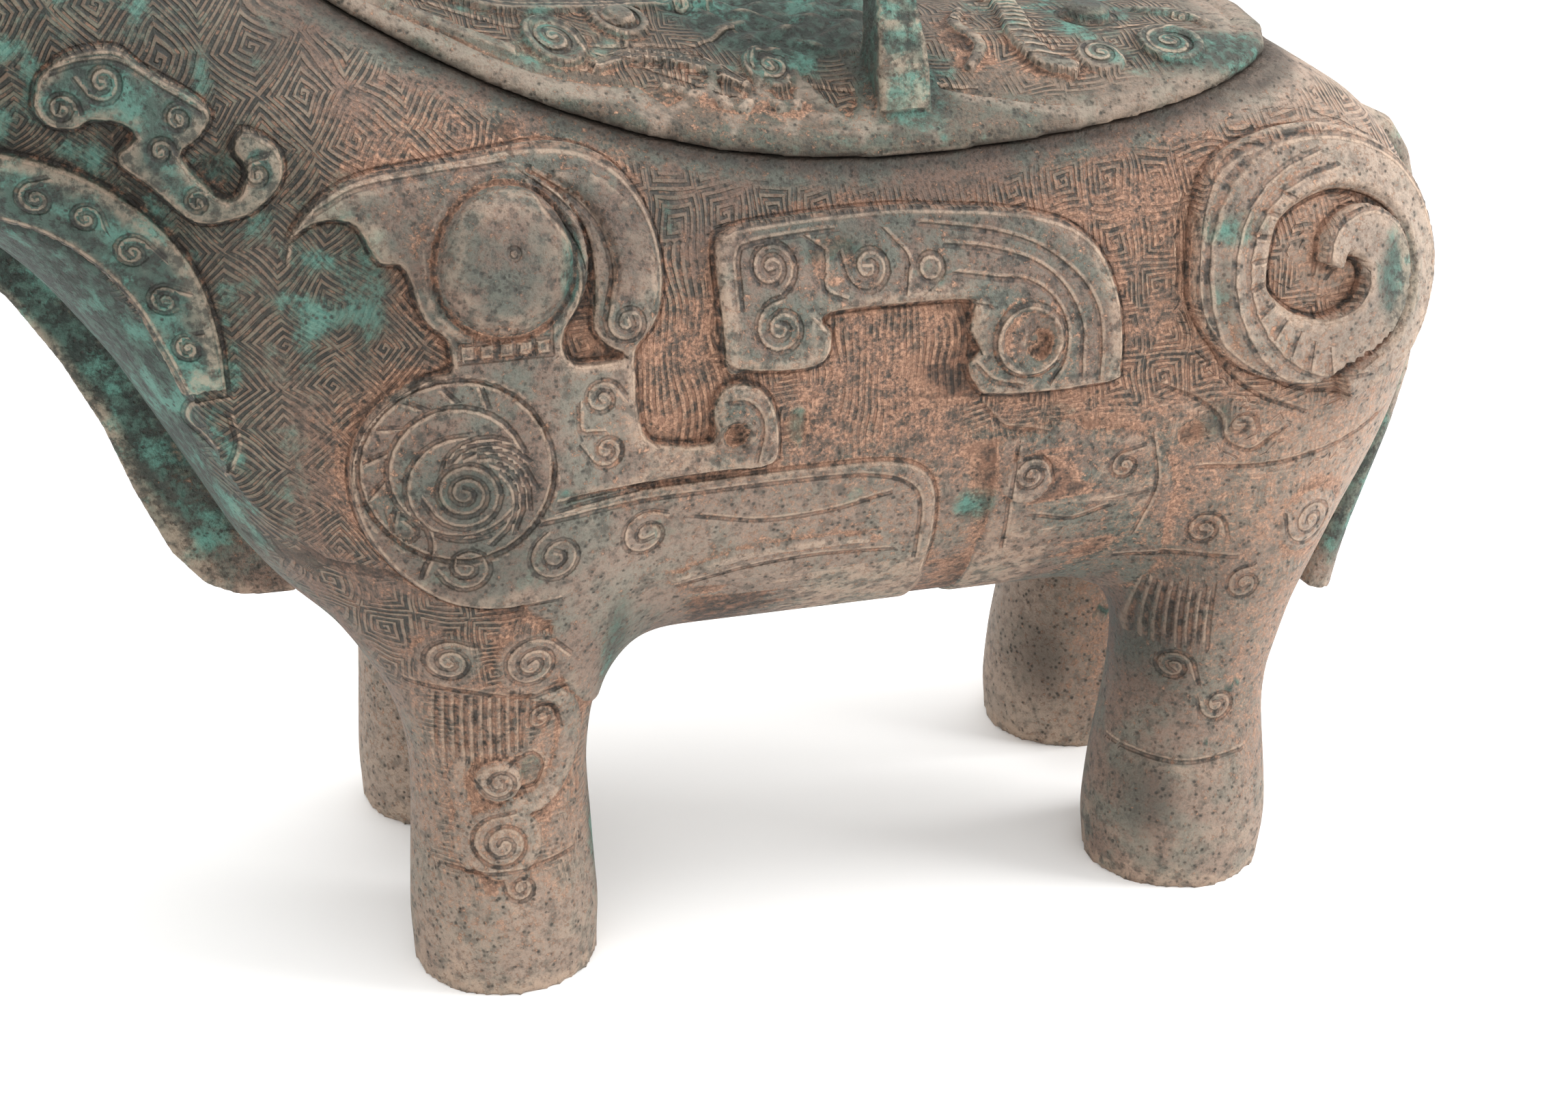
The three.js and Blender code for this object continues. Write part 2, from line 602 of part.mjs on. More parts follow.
function mouthSlit() {
  const rows = [[-12.5, 160.2, 166.4], [9.5, 161.6, 165.6],
    [30.5, 162.8, 163.8]].map(([distance, low, high]) => [
    fromMuzzle(distance), low, high,
  ]);
  return loft(rows.map(([x, low, high]) => [[-40, low], [40, low], [40, high],
    [-40, high]].map(([y, z]) => new THREE.Vector3(x, y, z))));
}

function nostrils() {
  const path = [[-4.5, 9, 181], [5.5, 8.4, 180.6], [11.5, 7.6, 180]].map(
    ([distance, y, z]) => [fromMuzzle(distance), y, z],
  );
  return mirrored(tapered(path, (t) => [3.2 - 1.6 * t, 2.4 - t], 8, 3));
}

// The rim: the back is cut along a saddle that climbs to the neck in front and to the rump behind
function rimHeight(x) {
  const d = x - rimLowAt;
  return rimLow + (d < 0 ? 0.00335 : 0.0014) * d * d;
}

function rimHalfWidth(x) {
  const low = belly(x);
  const high = back(x);
  const v = Math.abs(rimHeight(x) - (low + high) / 2) / ((high - low) / 2);
  return v >= 1 ? 0 : halfWidth(x) * (1 - v ** sectionPower) ** (1 / sectionPower);
}

function lastWhere(inside, from, to) {
  for (let i = 0; i < 40; i++) {
    const middle = (from + to) / 2;
    if (inside(middle)) from = middle;
    else to = middle;
  }
  return from;
}

const rimFront = lastWhere((x) => rimHalfWidth(x) > 0, rimLowAt, -150);
const rimBack = lastWhere((x) => rimHalfWidth(x) > 0, rimLowAt, rumpEnd - 1);
const rimMiddle = (rimFront + rimBack) / 2;
const rimHalfLength = (rimBack - rimFront) / 2;
const rimSpokes = 44;

// Plan of the rim's outer edge moved outwards by some distance, one point for each spoke
function rimPlan(outwards) {
  const raw = Array.from({ length: rimSpokes }, (_, i) => {
    const angle = (2 * Math.PI * i) / rimSpokes;
    const x = rimMiddle + rimHalfLength * Math.cos(angle) * 0.9995;
    return new THREE.Vector2(x, Math.sign(Math.round(Math.sin(angle) * 1e6)) * rimHalfWidth(x));
  });
  return raw.map((p, i) => {
    const before = raw[(i + rimSpokes - 1) % rimSpokes];
    const after = raw[(i + 1) % rimSpokes];
    const out = new THREE.Vector2(after.y - before.y, before.x - after.x).normalize();
    return p.clone().addScaledVector(out, outwards);
  });
}

function aboveSaddle() {
  const top = 260;
  const steps = 24;
  const from = rimFront - 26;
  const to = rimBack + 34;
  const wide = 90;
  const rings = Array.from({ length: steps + 1 }, (_, i) => {
    const x = from + ((to - from) * i) / steps;
    const z = rimHeight(x);
    return [[-wide, z], [wide, z], [wide, top], [-wide, top]].map(([y, h]) => new THREE.Vector3(x, y, h));
  });
  return loft(rings);
}

function mouthCut() {
  const plan = rimPlan(-rimLand);
  const floor = bellyHeight + 50;
  return loft([floor, 240].map((z) => plan.map((p) => new THREE.Vector3(p.x, p.y, z))));
}

// The lid: a shell over the rim with a ring below it that drops into the mouth
function lidTop(share, x) {
  return rimHeight(x) + lidGap + lidEdge + lidRise * (1 - share ** 2.1);
}

function lidShell() {
  const outer = rimPlan(lidOverhang);
  const centre = new THREE.Vector2(rimMiddle, 0);
  const toward = (i, share) => centre.clone().lerp(outer[i], share);
  const tongueOut = rimPlan(-rimLand - tongueClearance);
  const tongueIn = rimPlan(-rimLand - tongueClearance - tongueWall);
  const shares = [0.985, 0.93, 0.85, 0.72, 0.55, 0.36, 0.17];
  const spoke = (i) => {
    const rows = [];
    const edge = outer[i];
    rows.push([edge, rimHeight(edge.x) + lidGap]);
    rows.push([edge, rimHeight(edge.x) + lidGap + lidEdge * 0.75]);
    for (const share of shares) rows.push([toward(i, share), lidTop(share, toward(i, share).x)]);
    return rows;
  };
  const under = (i) => {
    const rows = [];
    const shareOf = (p) => p.distanceTo(centre) / outer[i].distanceTo(centre);
    const inner = tongueIn[i];
    const innerShare = shareOf(inner);
    for (const part of [0.25, 0.62, 1]) {
      const p = toward(i, innerShare * part);
      rows.push([p, lidTop(innerShare * part, p.x) - lidThickness]);
    }
    rows.push([inner, rimHeight(inner.x) + lidGap - tongueDepth]);
    rows.push([tongueOut[i], rimHeight(tongueOut[i].x) + lidGap - tongueDepth]);
    rows.push([tongueOut[i], rimHeight(tongueOut[i].x) + lidGap]);
    return rows;
  };
  const points = [];
  const triangles = [];
  const columns = outer.map((_, i) => [...spoke(i), ...under(i)]);
  const rows = columns[0].length;
  for (const column of columns) for (const [p, z] of column) points.push([p.x, p.y, z]);
  const crest = points.push([centre.x, 0, lidTop(0, centre.x)]) - 1;
  const ceiling = points.push([centre.x, 0, lidTop(0, centre.x) - lidThickness]) - 1;
  const topRows = shares.length + 2;
  for (let i = 0; i < rimSpokes; i++) {
    const a = i * rows;
    const b = ((i + 1) % rimSpokes) * rows;
    const quad = (r, s) => triangles.push([a + r, b + r, b + s], [a + r, b + s, a + s]);
    for (let r = 0; r + 1 < topRows; r++) quad(r, r + 1);
    triangles.push([a + topRows - 1, b + topRows - 1, crest]);
    triangles.push([b + topRows, a + topRows, ceiling]);
    for (let r = topRows; r + 1 < rows; r++) quad(r, r + 1);
    quad(rows - 1, 0);
  }
  return solidFrom(points, triangles);
}

// Ornament on the lid is drawn in plan, [along, across], on the beast's left half
function onLid(x, y, raise) {
  const inside = (t) => Math.abs(t * y) < rimHalfWidth(rimMiddle + t * (x - rimMiddle)) + lidOverhang;
  const share = 1 / lastWhere(inside, 0.5, 40);
  return new THREE.Vector3(x, y, lidTop(share, x) + raise);
}

function lidOrnament() {
  const pieces = [
    roundel(onLid, -50.5, -22.5, [[5.6, 1.2], [2.4, 0.6]], 10),
    roundel(onLid, -37.5, -13.5, [[5.4, 1.2], [2.2, 2.2]], 10),
    roundel(onLid, -13, -23.5, [[5, 1.1], [2.2, 0.5]], 8),
    roundel(onLid, 50, -9, [[4.2, 1.2], [2.6, 2.4]], 8),
    roundel(onLid, 61, -22.5, [[6, 1.1], [3, 0.4]], 10),
    band(onLid, [[-88, -12, 2], [-74, -14, 5], [-60, -15, 6], [-47, -11, 6], [-32, -5, 6],
      [-19, -3, 4]], 1.2, 8),
    band(onLid, [[-45, -27.5, 2], [-36, -23, 3.4], [-26, -24, 3.4], [-18, -28.5, 2]], 1.1, 5),
    band(onLid, [[36.5, -1.5, 4.6], [35.4, -10, 5], [34.2, -19, 5], [36, -25.5, 4.6],
      [41, -29, 3]], 1.3, 7),
  ];
  return mirrored(pieces.reduce((all, piece) => all.add(piece)));
}

function handle() {
  const foot = lidTop(handleHalfSpan / rimHalfWidth(handlePlace), handlePlace) - 2.5;
  const steps = 16;
  const rings = Array.from({ length: steps + 1 }, (_, i) => {
    const angle = (Math.PI * i) / steps;
    const out = new THREE.Vector3(0, -Math.cos(angle), Math.sin(angle));
    const height = foot + handleRise * Math.sin(angle);
    const middle = new THREE.Vector3(handlePlace, -handleHalfSpan * Math.cos(angle), height);
    const flare = 1 + 0.7 * Math.abs(Math.cos(angle)) ** 6;
    const half = [(handleWidth / 2) * flare, (handleDepth / 2) * flare];
    return [[-1, -1], [1, -1], [1, 1], [-1, 1]].map(([p, q]) =>
      middle.clone().add(new THREE.Vector3(p * half[0], 0, 0)).addScaledVector(out, q * half[1]),
    );
  });
  return loft(rings);
}

// Assembly
function vessel() {
  const outside = simplify(
    meshOf(skin, [muzzleEnd - 8, -66, -legStub - 6], [rumpEnd + 8, 66, 228], skinCell),
    skinTriangles,
  );
  const inside = simplify(
    meshOf(hollow, [hollowFront - 8, -58, bellyHeight - 6], [rumpEnd + 2, 58, 222], hollowCell),
    hollowTriangles,
  );
  const floor = solidOf(new THREE.BoxGeometry(600, 300, 40).translate(0, 0, -20));
  const body = solidFrom(outside.points, outside.triangles)
    .add(horns())
    .add(ears())
    .add(tail())
    .add(throatFin())
    .add(ornament())
    .add(eyes());
  return thinned(body, bodyTriangles)
    .subtract(mouthSlit())
    .subtract(nostrils())
    .subtract(floor)
    .subtract(aboveSaddle())
    .subtract(solidFrom(inside.points, inside.triangles))
    .subtract(mouthCut());
}

function lid() {
  return lidShell().add(lidOrnament()).add(handle());
}

function meshFrom(solid, name, material) {
  const made = solid.getMesh();
  const geometry = new THREE.BufferGeometry();
  geometry.setAttribute("position", new THREE.BufferAttribute(made.vertProperties, 3));
  geometry.setIndex(new THREE.BufferAttribute(made.triVerts, 1));
  geometry.computeVertexNormals();
  const mesh = new THREE.Mesh(geometry, material);
  mesh.name = name;
  return mesh;
}

const patina = new THREE.MeshStandardMaterial({ color: 0x75766a, roughness: 0.82, metalness: 0.35 });
const lidPatina = new THREE.MeshStandardMaterial({ color: 0x7b8577, roughness: 0.82, metalness: 0.35 });

const zun = new THREE.Group();
zun.add(meshFrom(vessel(), "vessel", patina), meshFrom(lid(), "lid", lidPatina));
const extent = new THREE.Box3().setFromObject(zun);
zun.position.x = -(extent.min.x + extent.max.x) / 2;
zun.updateMatrixWorld(true);
export default zun;
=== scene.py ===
import json
import math

import bpy
import numpy as np
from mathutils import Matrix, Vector

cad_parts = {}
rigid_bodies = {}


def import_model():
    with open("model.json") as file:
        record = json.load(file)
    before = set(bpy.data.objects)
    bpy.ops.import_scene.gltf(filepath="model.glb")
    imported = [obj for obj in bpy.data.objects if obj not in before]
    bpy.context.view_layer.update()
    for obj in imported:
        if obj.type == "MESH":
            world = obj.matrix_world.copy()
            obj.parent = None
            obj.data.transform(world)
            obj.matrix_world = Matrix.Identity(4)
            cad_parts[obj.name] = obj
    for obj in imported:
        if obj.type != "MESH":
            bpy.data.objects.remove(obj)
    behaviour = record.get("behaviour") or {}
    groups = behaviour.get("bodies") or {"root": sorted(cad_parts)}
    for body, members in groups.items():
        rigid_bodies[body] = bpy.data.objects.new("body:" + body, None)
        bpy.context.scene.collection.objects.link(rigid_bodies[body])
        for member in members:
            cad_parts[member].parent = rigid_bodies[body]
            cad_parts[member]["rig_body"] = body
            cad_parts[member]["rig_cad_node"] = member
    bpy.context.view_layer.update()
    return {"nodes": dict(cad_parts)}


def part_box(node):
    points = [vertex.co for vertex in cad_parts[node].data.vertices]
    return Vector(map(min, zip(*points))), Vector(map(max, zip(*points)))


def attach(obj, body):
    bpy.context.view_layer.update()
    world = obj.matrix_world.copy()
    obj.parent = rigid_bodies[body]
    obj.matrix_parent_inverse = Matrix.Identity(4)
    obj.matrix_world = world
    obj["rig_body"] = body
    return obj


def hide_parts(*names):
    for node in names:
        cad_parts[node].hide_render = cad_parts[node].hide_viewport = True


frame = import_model()

# Ornament is laid out in mm on flat sheets beside the beast, like a foundry drawing, and pressed onto
# its skin. x runs from muzzle to tail and is 0 a little behind the middle of the lid.
muzzleTip = -277.72
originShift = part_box("vessel")[0].x * 1000 - muzzleTip


def smooth(t):
    t = np.clip(t, 0, 1)
    return t * t * (3 - 2 * t)


def ramp(values, low, high):
    return smooth((values - low) / (high - low))


def unit(vectors):
    return vectors / np.maximum(np.linalg.norm(vectors, axis=1), 1e-6)[:, None]


# Smooth line through the points of a path, whose third number is its width there
def curve(path, spacing=0.8):
    points = np.array(path, float)
    ends = np.vstack([2 * points[0] - points[1], points, 2 * points[-1] - points[-2]])
    made = []
    for i in range(len(points) - 1):
        a, b, c, d = ends[i:i + 4]
        steps = max(2, int(np.hypot(*(c - b)[:2]) / spacing))
        t = np.linspace(0, 1, steps, endpoint=False)[:, None]
        bend = (2 * a - 5 * b + 4 * c - d) * t ** 2 + (3 * b - a - 3 * c + d) * t ** 3
        made.append(0.5 * (2 * b + (c - a) * t + bend))
    return np.vstack(made + [points[-1:]])


def arc(x, z, radius, start, end, radiusEnd=None):
    radiusEnd = radius if radiusEnd is None else radiusEnd
    steps = max(5, int(abs(end - start) / 12))
    turn = np.radians(np.linspace(start, end, steps))
    reach = np.linspace(radius, radiusEnd, steps)
    return np.column_stack([x + reach * np.cos(turn), z + reach * np.sin(turn)])


# A path round (x, z) from rows of angle, radius and width
def turned(rows, x, z):
    return [[x + r * math.cos(math.radians(a)), z + r * math.sin(math.radians(a)), w] for a, r, w in rows]


# Distance from points to a line on the sheet, which side they are on, and the line's width there
def nearest(points, line, reach):
    low, high = line[:, :2].min(0) - reach, line[:, :2].max(0) + reach
    near = np.nonzero(((points >= low) & (points <= high)).all(1))[0]
    p = points[near]
    best = np.full(len(near), 1e9)
    width = np.zeros(len(near))
    beyond = np.zeros(len(near))
    aside = np.zeros(len(near))
    last = len(line) - 2
    for i in range(len(line) - 1):
        a, b = line[i, :2], line[i + 1, :2]
        along = b - a
        length = max(np.hypot(*along), 1e-6)
        t = (p - a) @ along / length ** 2
        side = ((p - a) @ np.array([-along[1], along[0]])) / length
        over = np.maximum(0, np.maximum(-t, t - 1)) * length
        gap = np.hypot(over, side)
        closer = gap < best
        best[closer] = gap[closer]
        if line.shape[1] > 2:
            share = np.clip(t[closer], 0, 1)
            width[closer] = line[i, 2] + share * (line[i + 1, 2] - line[i, 2])
        atEnd = (t < 0) & (i == 0) | (t > 1) & (i == last)
        beyond[closer] = np.where(atEnd, over, 0)[closer]
        aside[closer] = side[closer]
    return near, best, width, beyond, aside


# How far inside a band's edge each point is, less than 0 outside it
def insideBand(points, path):
    line = curve(path)
    near, best, width, beyond, aside = nearest(points, line, line[:, 2].max() / 2 + 4)
    depth = np.where(beyond > 0, np.minimum(width / 2 - np.abs(aside), -beyond), width / 2 - best)
    return near, depth


# How far inside a closed outline each point is, less than 0 outside it
def insideOutline(points, outline):
    line = curve(outline + outline[:1])
    near, gap = nearest(points, line, 2)[:2]
    x, z = points[near].T
    inside = np.zeros(len(near), bool)
    for (xa, za), (xb, zb) in zip(line[:-1], line[1:]):
        if za != zb:
            inside ^= ((za > z) != (zb > z)) & (x < xa + (z - za) * (xb - xa) / (zb - za))
    return near, np.where(inside, gap, -gap)


# Closed line inside the edge of a band
def insetLines(path, inset):
    line = curve(path, 1.2)
    step = unit(np.gradient(line[:, :2], axis=0))
    side = np.column_stack([-step[:, 1], step[:, 0]])
    reach = np.maximum(line[:, 2] / 2 - inset, 0.15)[:, None]
    skip = max(1, int(inset / 1.2))
    body = slice(skip, len(line) - skip) if len(line) > 2 * skip + 3 else slice(None)
    left = (line[:, :2] + side * reach)[body]
    right = (line[:, :2] - side * reach)[body]
    return np.vstack([left, right[::-1], left[:1]])


# Open spiral from the outside in
def spiralLine(x, z, radius, start, turns):
    pitch = radius / (turns + 0.35)
    turn = np.linspace(0, turns * 2 * math.pi, max(10, int(turns * 22)))
    reach = np.maximum(radius - pitch * turn / (2 * math.pi), 0.25)
    angle = math.radians(start) + turn
    return np.column_stack([x + reach * np.cos(angle), z + reach * np.sin(angle)])


def vertexArray(mesh, name="co"):
    values = np.zeros(len(mesh.vertices) * 3)
    mesh.vertices.foreach_get(name, values)
    return values.reshape(-1, 3)


def setVertices(mesh, points):
    mesh.vertices.foreach_set("co", points.ravel())
    mesh.update()


def edgeArray(mesh):
    values = np.zeros(len(mesh.edges) * 2, np.int32)
    mesh.edges.foreach_get("vertices", values)
    return values.reshape(-1, 2)


# Each vertex goes towards the mean of its neighbours, as far as its share allows
def relaxed(points, edges, rounds, share=1.0):
    count = len(points)
    a, b = edges[:, 0], edges[:, 1]
    around = np.maximum(np.bincount(a, minlength=count) + np.bincount(b, minlength=count), 1)
    points = points.copy()
    for _ in range(rounds):
        total = np.empty_like(points)
        for axis in range(points.shape[1]):
            p = points[:, axis]
            total[:, axis] = np.bincount(a, p[b], count) + np.bincount(b, p[a], count)
        points += (total / around[:, None] - points) * (np.reshape(share, (-1, 1)) * 0.55)
    return points


# Soft patches from rows of place, reach both ways and strength
def spots(x, z, rows):
    value = np.zeros(len(x))
    for px, pz, rx, rz, strength in rows:
        away = ((x - px) / rx) ** 2 + ((z - pz) / rz) ** 2
        value = np.maximum(value, strength * np.exp(-away ** 1.6))
    return value


def storeValues(mesh, marks, domain="POINT"):
    for name, values in marks.items():
        attribute = mesh.attributes.new(name, "FLOAT", domain)
        attribute.data.foreach_set("value", values.astype(np.float32))


def copyOfNode(nodeName, pieceName):
    bpy.ops.object.select_all(action="DESELECT")
    source = frame["nodes"][nodeName]
    piece = source.copy()
    piece.data = source.data.copy()
    piece.name = pieceName
    piece.parent = None
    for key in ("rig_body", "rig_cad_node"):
        if key in piece:
            del piece[key]
    bpy.context.scene.collection.objects.link(piece)
    piece.select_set(True)
    bpy.context.view_layer.objects.active = piece
    bpy.ops.object.mode_set(mode="EDIT")
    bpy.ops.mesh.select_all(action="SELECT")
    bpy.ops.mesh.remove_doubles(threshold=0.00001)
    bpy.ops.object.mode_set(mode="OBJECT")
    return piece


def evenMesh(piece, cell):
    piece.data.remesh_voxel_size = cell / 1000
    piece.data.use_remesh_preserve_volume = False
    bpy.ops.object.voxel_remesh()


def fewerTriangles(piece, wanted):
    triangles = sum(len(face.vertices) - 2 for face in piece.data.polygons)
    if triangles > wanted:
        bpy.ops.object.modifier_add(type="DECIMATE")
        piece.modifiers[-1].ratio = wanted / triangles
        bpy.ops.object.modifier_apply(modifier=piece.modifiers[-1].name)


# Height over the bare skin of everything that stands out of it
def raisedHeight(points, forms, edge=0.75):
    height = np.zeros(len(points))
    for form in forms:
        if form["kind"] == "band":
            near, depth = insideBand(points, form["path"])
            crown = 1 + form["crown"] * ramp(depth, 0, max(row[2] for row in form["path"]) / 2)
            share = ramp(depth, -edge * 0.55, edge * 0.65)
            height[near] = np.maximum(height[near], form["height"] * crown * share)
        elif form["kind"] in ("plate", "sunk"):
            near, depth = insideOutline(points, form["outline"])
            share = ramp(depth, -edge * 0.55, edge * 0.65)
            if form["kind"] == "sunk":
                height[near] *= 1 - share
            else:
                height[near] = np.maximum(height[near], form["height"] * share)
        else:
            x, z = form["at"]
            rows = sorted(form["rows"])
            radius = np.hypot(points[:, 0] - x, points[:, 1] - z)
            outer = rows[-1][0]
            inner = np.interp(radius, [r for r, _ in rows], [h for _, h in rows])
            height = np.maximum(height, inner * ramp(outer - radius, -edge * 0.55, edge * 0.65))
    return height


def cutDepth(points, lines, width, depth):
    cut = np.zeros(len(points))
    for line in lines:
        near, gap = nearest(points, line, width * 2)[:2]
        cut[near] = np.maximum(cut[near], depth * np.exp(-(gap / width) ** 2))
    return cut


def faceArray(mesh, name):
    values = np.zeros(len(mesh.polygons) * 3)
    mesh.polygons.foreach_get(name, values)
    return values.reshape(-1, 3)


# For each face, the signed distance of its corners to the one line nearest to its middle
def lineDistances(mesh, sheetPoints, faceSheet, lines):
    far = 3.0
    loops = np.zeros(len(mesh.loops), np.int32)
    mesh.loops.foreach_get("vertex_index", loops)
    totals = np.zeros(len(mesh.polygons), np.int32)
    mesh.polygons.foreach_get("loop_total", totals)
    faceOfLoop = np.repeat(np.arange(len(totals)), totals)
    middles = np.zeros((len(totals), 2))
    for axis in range(2):
        middles[:, axis] = np.bincount(faceOfLoop, sheetPoints[loops, axis], len(totals)) / totals
    best = np.full(len(totals), far)
    start = np.zeros((len(totals), 2))
    side = np.zeros((len(totals), 2))
    for line in lines:
        low, high = line.min(0) - far, line.max(0) + far
        near = np.nonzero(((middles >= low) & (middles <= high)).all(1) & faceSheet)[0]
        p = middles[near]
        for i in range(len(line) - 1):
            a, along = line[i, :2], line[i + 1, :2] - line[i, :2]
            length = max(np.hypot(*along), 1e-6)
            t = np.clip((p - a) @ along / length ** 2, 0, 1)
            gap = np.hypot(*(p - a - t[:, None] * along).T)
            closer = gap < best[near]
            best[near[closer]] = gap[closer]
            start[near[closer]] = a
            side[near[closer]] = np.array([-along[1], along[0]]) / length
    values = ((sheetPoints[loops] - start[faceOfLoop]) * side[faceOfLoop]).sum(1)
    found = best[faceOfLoop] < far
    return np.where(found, np.clip(values, -far, far), far)


vesselBronze = {
    "cell": 0.85,
    "triangles": 196000,
    "settle": 34,
    "flankEdge": 0.7,
    "haunchEdge": 0.8,
    "flankLineWidth": 0.504,
    "flankLineDepth": 0.32,
    "haunchLineWidth": 0.5,
    "haunchLineDepth": 0.4,
    "haunchAt": (80, -40),
    "haunchTurn": 26,
    # share of the ornament above which a point or a face counts as lying on the sheet
    "castShare": 0.0233,
    "lineShare": 0.0872,
    "rimLow": 149.4,
    "rimLowAt": 6,
    "mouth": (-118, 96),
    "legTop": 60,
    "legInside": 26,
}


def band(height, path, crown=0):
    return {"kind": "band", "height": height, "path": path, "crown": crown}


def roundel(x, z, rows):
    return {"kind": "roundel", "at": (x, z), "rows": rows}


def plate(height, outline):
    return {"kind": "plate", "height": height, "outline": outline}


def sunk(outline):
    return {"kind": "sunk", "outline": outline}


# Both edges of a band
def sideLines(path):
    line = curve(path, 1.2)
    step = unit(np.gradient(line[:, :2], axis=0))
    side = np.column_stack([-step[:, 1], step[:, 0]]) * (line[:, 2] / 2)[:, None]
    return [(line[:, :2] + side)[::-1], line[:, :2] - side]


vortex = turned([[-20, 13.4, 1.6], [40, 12.6, 2], [100, 11, 2], [160, 10, 2], [220, 8.8, 2], [280, 7.4, 2],
                 [340, 6, 2], [400, 4.6, 2], [460, 3.4, 2]], -73, 104.2)
volute = turned([[140, 4.6, 4], [90, 6.4, 7.4], [45, 7.8, 9.6], [0, 8.8, 11], [-45, 10, 11],
                 [-90, 11.6, 10.4], [-135, 13.8, 9.4], [-180, 16, 9], [-225, 17.4, 9], [-270, 18.4, 9],
                 [-315, 18.8, 8.4], [-360, 19, 8], [-405, 19.4, 7], [-450, 20.4, 5.4]], -1, 124.5)
voluteRim = turned([[105, 25.6, 1.4], [140, 25.8, 2.4], [180, 25.4, 2.6], [220, 25, 2.4], [262, 24, 1.2]],
                   -1, 125)
beak = [[-99.4, 147.8, 0.8], [-95, 150.4, 3.2], [-90, 151.6, 4.6], [-85.5, 149.6, 9], [-79, 147.5, 12]]
crescent = [[-60, 154.6, 2.4], [-52, 151.4, 5], [-46.5, 146.5, 7], [-43.3, 140, 8], [-43, 133, 8.4],
            [-46, 127.4, 6.5]]
bossNeck = [[-66, 130, 19], [-66.5, 121, 17]]
lowerLobe = [[-89, 92, 2], [-85, 87, 3], [-79, 83.4, 3], [-72, 81.6, 2.4]]
limb = [[-71, 98.4, 1.4], [-50, 98.8, 2.4], [-28, 100, 2.4], [-8, 100.2, 2.4], [3, 98.2, 2.4],
        [8.4, 91.5, 2.4], [9.6, 80, 2]]
panel = [[-50.7, 123, 10], [-50.6, 113, 12.6], [-50, 102.5, 12.6]]
hook = [[-28.5, 115.6, 3], [-23.8, 114.6, 4.6], [-21.2, 109.6, 4.6], [-21.6, 103, 3.6]]
dragon = [[-29.6, 134, 13], [-18, 134.2, 14.6], [0, 134.4, 15], [16, 133.8, 15], [27, 130.5, 14.4],
          [34, 123.5, 13], [37, 116, 12], [36.6, 110.4, 9]]
dragonHead = [[-21.6, 127.6, 17], [-21.2, 122, 17], [-20.8, 117.6, 14]]
neckDragon = [[-138, 166.5, 4], [-132, 174, 6.4], [-124.5, 174.5, 6.6], [-119.4, 167.5, 6.4],
              [-116.4, 160, 6.4], [-112.4, 152.6, 6], [-106, 151.4, 5.4], [-101.6, 156.4, 5],
              [-103.4, 162.4, 4], [-107.6, 164.4, 3]]
border = [[-146, 154.5, 11], [-134.5, 151, 11], [-125, 145.4, 10.4], [-118, 136, 9], [-113.8, 126, 7.4],
          [-111.6, 117, 5.4], [-109, 106, 3.6], [-103, 94.5, 3]]

# What the casting already carries, which is taken down first so that the bare skin can be smoothed
castFlank = [
    roundel(-66.3, 140.3, [[14.3, 1.5], [11.8, 1.4], [11.2, 2.2], [9.2, 4.4], [5.2, 6], [1.6, 6.2]]),
    band(1.8, beak), band(2.1, crescent), band(1.4, bossNeck),
    roundel(-75, 106.8, [[17.3, 1.8], [15.6, 1.8], [14.8, 1.0], [6, 1.0]]),
    band(2.2, vortex), band(1.7, lowerLobe), band(1.5, limb), band(1.5, panel), band(1.7, hook),
    band(1.7, dragon), band(1.7, dragonHead),
    roundel(24.6, 119.4, [[6.6, 1.5], [4.6, 1.7], [3.4, 1.0]]),
    band(1.7, neckDragon), band(1.8, border),
]
castHaunch = [band(2.6, volute), band(1.4, voluteRim)]

# Outlines of the flat figures as the eye sees them: a long-beaked one whose boss, disc, panel and foot are
# one plate, the dragon behind it, the belly panel under both, the panel before the hind leg, and the bent
# neck dragon
figurePlate = [
    [-99.6, 147.4], [-97.6, 150.8], [-93.4, 154.2], [-86, 156.6], [-70, 157.4], [-58, 157.6],
    [-50.6, 156.2], [-45.4, 153.4], [-42, 149.6], [-39.8, 144.6], [-38.9, 138.4], [-39.4, 133], [-41, 129],
    [-44.4, 125], [-44.6, 121], [-44.4, 114.6], [-43, 109.6], [-39.6, 107.8], [-31.6, 107.4], [-31.4, 113],
    [-29.4, 116.8], [-26, 117.2], [-22.4, 115.4], [-20.3, 111], [-19.8, 105], [-21.6, 101.8], [-31, 101.6],
    [-44, 101.2], [-57, 100.6], [-53, 97], [-50, 92], [-49, 86], [-53, 82.6], [-61, 81.6], [-70, 81.4],
    [-78, 83.2], [-84.6, 87.8], [-88.8, 93], [-91.2, 98], [-92.5, 104], [-92.2, 110], [-90, 115.4],
    [-86, 120], [-80.6, 123.4], [-75.8, 124.8], [-75.3, 127], [-76, 130.2], [-78.8, 132.8], [-80.3, 136.4],
    [-81.2, 140.4], [-82.6, 142.6], [-85.6, 143], [-87.4, 146], [-88.8, 149], [-92, 150.3], [-96, 149.8],
]
beakChannel = [[-60, 154], [-55, 150], [-51.4, 145], [-50.6, 139], [-51, 133.6], [-51.4, 129.6],
               [-49.4, 126.4], [-46.4, 124.4], [-50, 123.8], [-55, 124.2], [-56.6, 126.4], [-56.2, 129.6],
               [-54, 133], [-52.6, 137.4], [-53.2, 142], [-55.6, 146.6], [-58.6, 150.6]]
